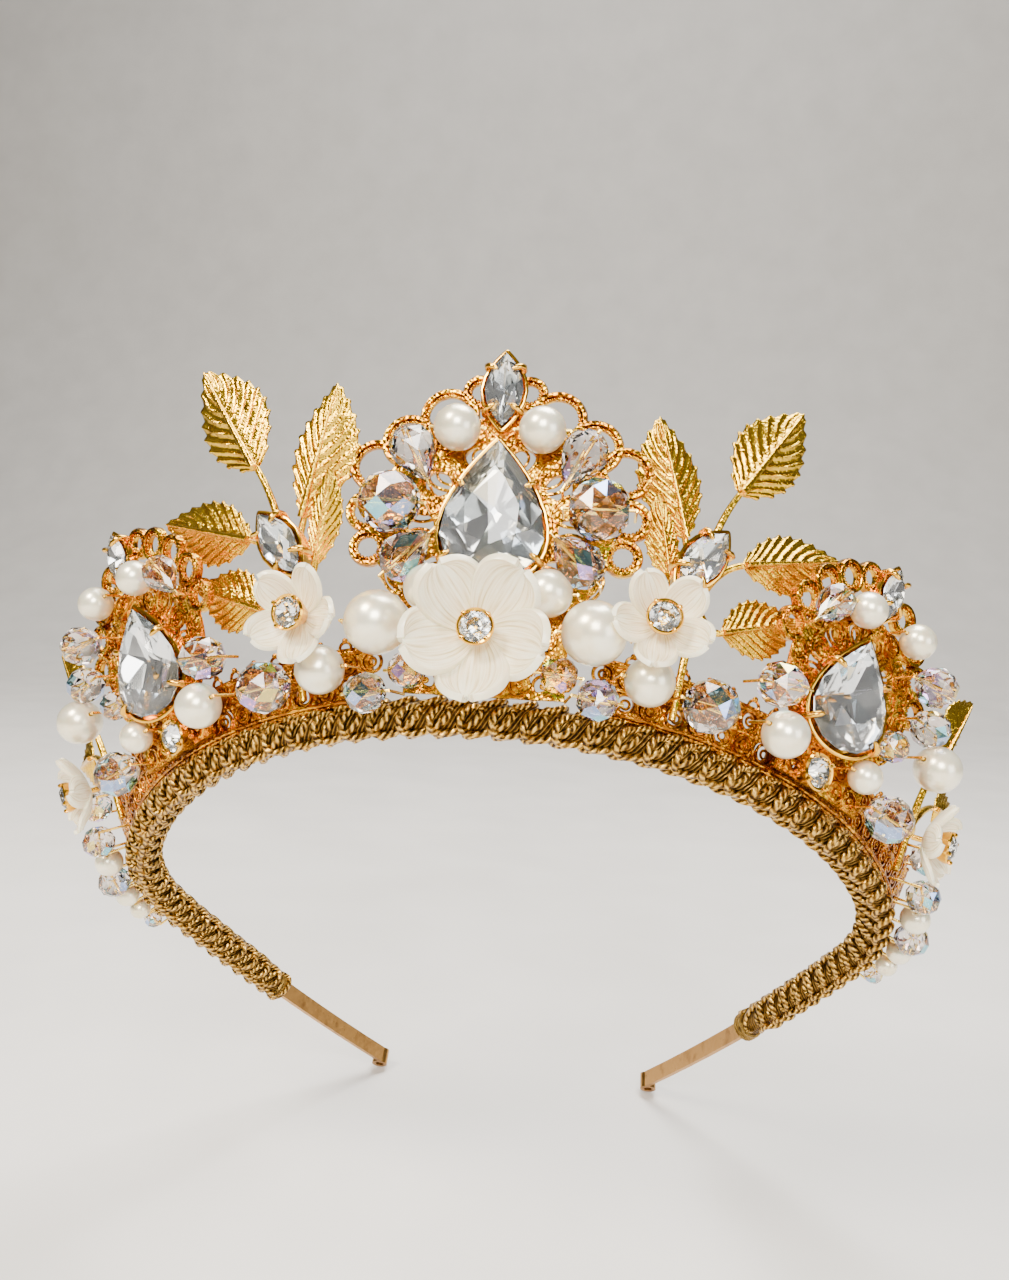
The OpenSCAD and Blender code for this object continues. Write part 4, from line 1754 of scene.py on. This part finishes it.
@dataclass
class GimpBraid:
    """The gimp braid: a woven sleeve round the strip and three looped cords laid over it."""

    end: float = 114.5
    sleeve_r: float = 2.0
    cord_r: float = 0.5
    cord_at: float = 2.15
    pitch: float = 3.8
    swing: float = 2.1
    spread: float = 52.0
    slant: float = 0.5
    lift: float = 0.32
    steps: int = 20
    rows: tuple[float, ...] = (-45.0, 75.0, 195.0)
    wraps: int = 4
    wrap_pitch: float = 0.55
    wrap_r: float = 0.36

    def sleeve(self) -> Shape:
        """Sweeps the woven ground round the strip."""
        reach = BAND.run(self.end)
        count = 150
        points = [BAND.round_the_strip(-reach + 2 * reach * i / count, 0, 0) for i in range(count + 1)]
        return Bench.paint(Bench.tube("sleeve", points, self.sleeve_r, sides=3), GIMP_GROUND_SHADED)

    def cord(self, row: float, way: int) -> Shape:
        """Lays one cord in loops along its row.

        Args:
            row: degrees round the strip of the row's middle.
            way: 1 or -1, the direction in which it is worked.

        Returns:
            The cord.
        """
        reach = BAND.run(self.end) - 1.2
        turns = int(2 * reach / self.pitch)
        points = []
        for i in range(turns * self.steps + 1):
            t = 2 * math.pi * i / self.steps
            run = -reach + self.pitch * t / (2 * math.pi) - self.swing * math.sin(t)
            angle = math.radians(row + way * self.spread * math.cos(t + self.slant))
            run = max(-reach - 0.6, min(reach + 0.6, run))
            points.append(BAND.round_the_strip(way * run, angle, self.cord_at + self.lift * math.sin(t)))
        return Bench.paint(Bench.tube("cord", points, self.cord_r, sides=1), GIMP)

    def wrap(self, side: int) -> Shape:
        """Winds the yarn round the sleeve's end.

        Args:
            side: -1 or 1.

        Returns:
            The winding.
        """
        reach = BAND.run(self.end)
        points = []
        for i in range(self.wraps * self.steps + 1):
            turns = i / self.steps
            run = side * (reach - self.wraps * self.wrap_pitch + self.wrap_pitch * turns)
            points.append(BAND.round_the_strip(run, 2 * math.pi * turns, self.sleeve_r + 0.15))
        return Bench.paint(Bench.tube("wrap", points, self.wrap_r, sides=1), GIMP)

    def build(self) -> None:
        """Makes the braid as one piece on the worn band."""
        shapes = [self.sleeve()]
        shapes += [self.cord(row, way) for row, way in zip(self.rows, (1, -1, 1))]
        shapes += [self.wrap(s) for s in SIDES]
        worn = BAND.worn()
        Bench.lay("gimp_braid_cords", [(shape, worn) for shape in shapes], "gimp_braid", ("braid_trim",))
        Bench.drop_shapes(shapes)


# ---- the frame's own metal, and the studio ----


@dataclass
class PlainMetal:
    """The frame's own metal parts that keep their shape: strip, plates, lace and wires."""

    finishes: tuple = (
        ("headband", STRIP_BRASS),
        ("lace_strip", LACE_GILT),
        ("filigree", FILIGREE_GILT),
        ("wires", WIRE_GILT),
        ("base_wires", WIRE_GILT),
    )

    def dress(self) -> None:
        """Gives each of these nodes its finish."""
        for name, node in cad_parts.items():
            for start, finish in self.finishes:
                if name.startswith(start):
                    node.data.materials.clear()
                    node.data.materials.append(finish.dress())


@dataclass
class Studio:
    """Pale paper under the tiara, soft lights round it, and the camera before it."""

    yaw: float = 7.4664
    pitch: float = -42.0188
    roll: float = 8.0112
    shift: tuple[float, float, float] = (-0.4621, 50.2973, 169.5135)
    lens: float = 28.38
    floor_gap: float = 0.0004
    paper_run: float = 6.2
    paper_front: float = 3.0
    paper_flat: float = 3.7
    paper_bend: float = 0.6

    def camera(self) -> None:
        """Puts the camera where the shift and turns from the band's frame say."""
        turn = (
            Matrix.Rotation(math.radians(self.roll), 3, "Z")
            @ Matrix.Rotation(math.radians(self.pitch), 3, "X")
            @ Matrix.Rotation(math.radians(self.yaw), 3, "Y")
        )
        eye = -(turn.transposed() @ Vector(self.shift))
        worn = BAND.worn()
        lay = Matrix.Rotation(math.radians(-BAND.tilt), 3, "X")

        def from_ring(v: Vector) -> Vector:
            """Turns a direction from the lens's axes order to the band's."""
            return Vector((v.x, v.z, -v.y))

        axes = [lay @ from_ring(sign * turn[i]) for i, sign in ((0, 1), (1, -1), (2, -1))]
        place = Matrix(axes).transposed().to_4x4()
        place.translation = worn @ from_ring(eye)
        data = bpy.data.cameras.new("camera")
        data.lens, data.sensor_width = self.lens, 36.0
        data.clip_start, data.clip_end = 0.005, 20.0
        seen = bpy.data.objects.new("camera", data)
        seen.matrix_world = place
        bpy.context.collection.objects.link(seen)
        bpy.context.scene.camera = seen

    def floor(self) -> None:
        """Lays the paper flat and sweeps it up behind."""
        low = CAD_BOX[0][2] - self.floor_gap
        grid = bpy.ops.mesh.primitive_grid_add
        paper = Bench.start("background_paper", grid, x_subdivisions=2, y_subdivisions=48, size=2.0)

        def sweep(spot: Vector) -> Vector:
            """Gives the paper's point: flat, then round a bend, then straight up."""
            run = (spot.y + 1) / 2 * self.paper_run
            bend = max(0.0, min(math.pi / 2, (run - self.paper_flat) / self.paper_bend))
            rise = max(0.0, run - self.paper_flat - self.paper_bend * math.pi / 2)
            y = -self.paper_front + min(run, self.paper_flat) + self.paper_bend * math.sin(bend)
            return Vector((spot.x * 2.0, y, low + self.paper_bend * (1 - math.cos(bend)) + rise))

        Bench.warp(sweep)
        Bench.done(60.0)
        Bench.paint(paper, PAPER)

    def light(self, name: str, spot: Sequence[float], size: float, power: float, code: str) -> None:
        """Hangs a soft light aimed at the tiara.

        Args:
            name: the light's name.
            spot: its place in metres.
            size: its side in metres.
            power: its power in watts.
            code: its sRGB hex colour.
        """
        data = bpy.data.lights.new(name, "AREA")
        data.energy, data.size, data.color = power, size, linear(code)[:3]
        lamp = bpy.data.objects.new(name, data)
        lamp.location = spot
        lamp.rotation_euler = (-Vector(spot)).to_track_quat("-Z", "Y").to_euler()
        bpy.context.collection.objects.link(lamp)

    def build(self) -> None:
        """Sets the camera, the paper, the lights and the air's even glow."""
        self.camera()
        self.floor()
        self.light("key", (-0.3, -0.34, 0.5), 0.18, 6.4, "FFF4E4")
        self.light("top", (0.1, 0.12, 0.6), 0.3, 4.5, "FFFFFF")
        self.light("wash", (0.0, 0.5, 1.6), 1.0, 20.0, "FFFFFF")
        self.light("fill", (0.5, -0.4, 0.15), 0.3, 1.6, "FAFBFF")
        self.light("front", (0.06, -0.72, 0.42), 0.3, 8.0, "FFFDF8")
        world = bpy.data.worlds.new("studio_air")
        world.use_nodes = True
        world.node_tree.nodes["Background"].inputs["Color"].default_value = linear("ECEAE6")
        world.node_tree.nodes["Background"].inputs["Strength"].default_value = 0.17
        bpy.context.scene.world = world


def main() -> None:
    """Builds the tiara piece by piece, then the studio."""
    logging.basicConfig(level=logging.INFO, format="%(name)s %(message)s")
    PlainMetal().dress()
    GimpBraid().build()
    wires = WireWork()
    CENTRE_FAN.build(wires)
    SIDE_FAN.build(wires)
    LaceStrip().build(wires)
    blade, rib = INNER_SPRAY.blade("blade_stamped"), INNER_SPRAY.midrib("blade_midrib")
    for spray in (INNER_SPRAY, OUTER_SPRAY):
        spray.build(blade, rib)
    Bench.drop_shapes([blade, rib])
    cutter = GemCutter()
    stones = StoneWork()
    stones.build(cutter)
    stones.build_round(cutter)
    BeadWork().build(cutter, PearlMaker())
    Flower().build()
    Studio().build()


if __name__ == "__main__":
    main()
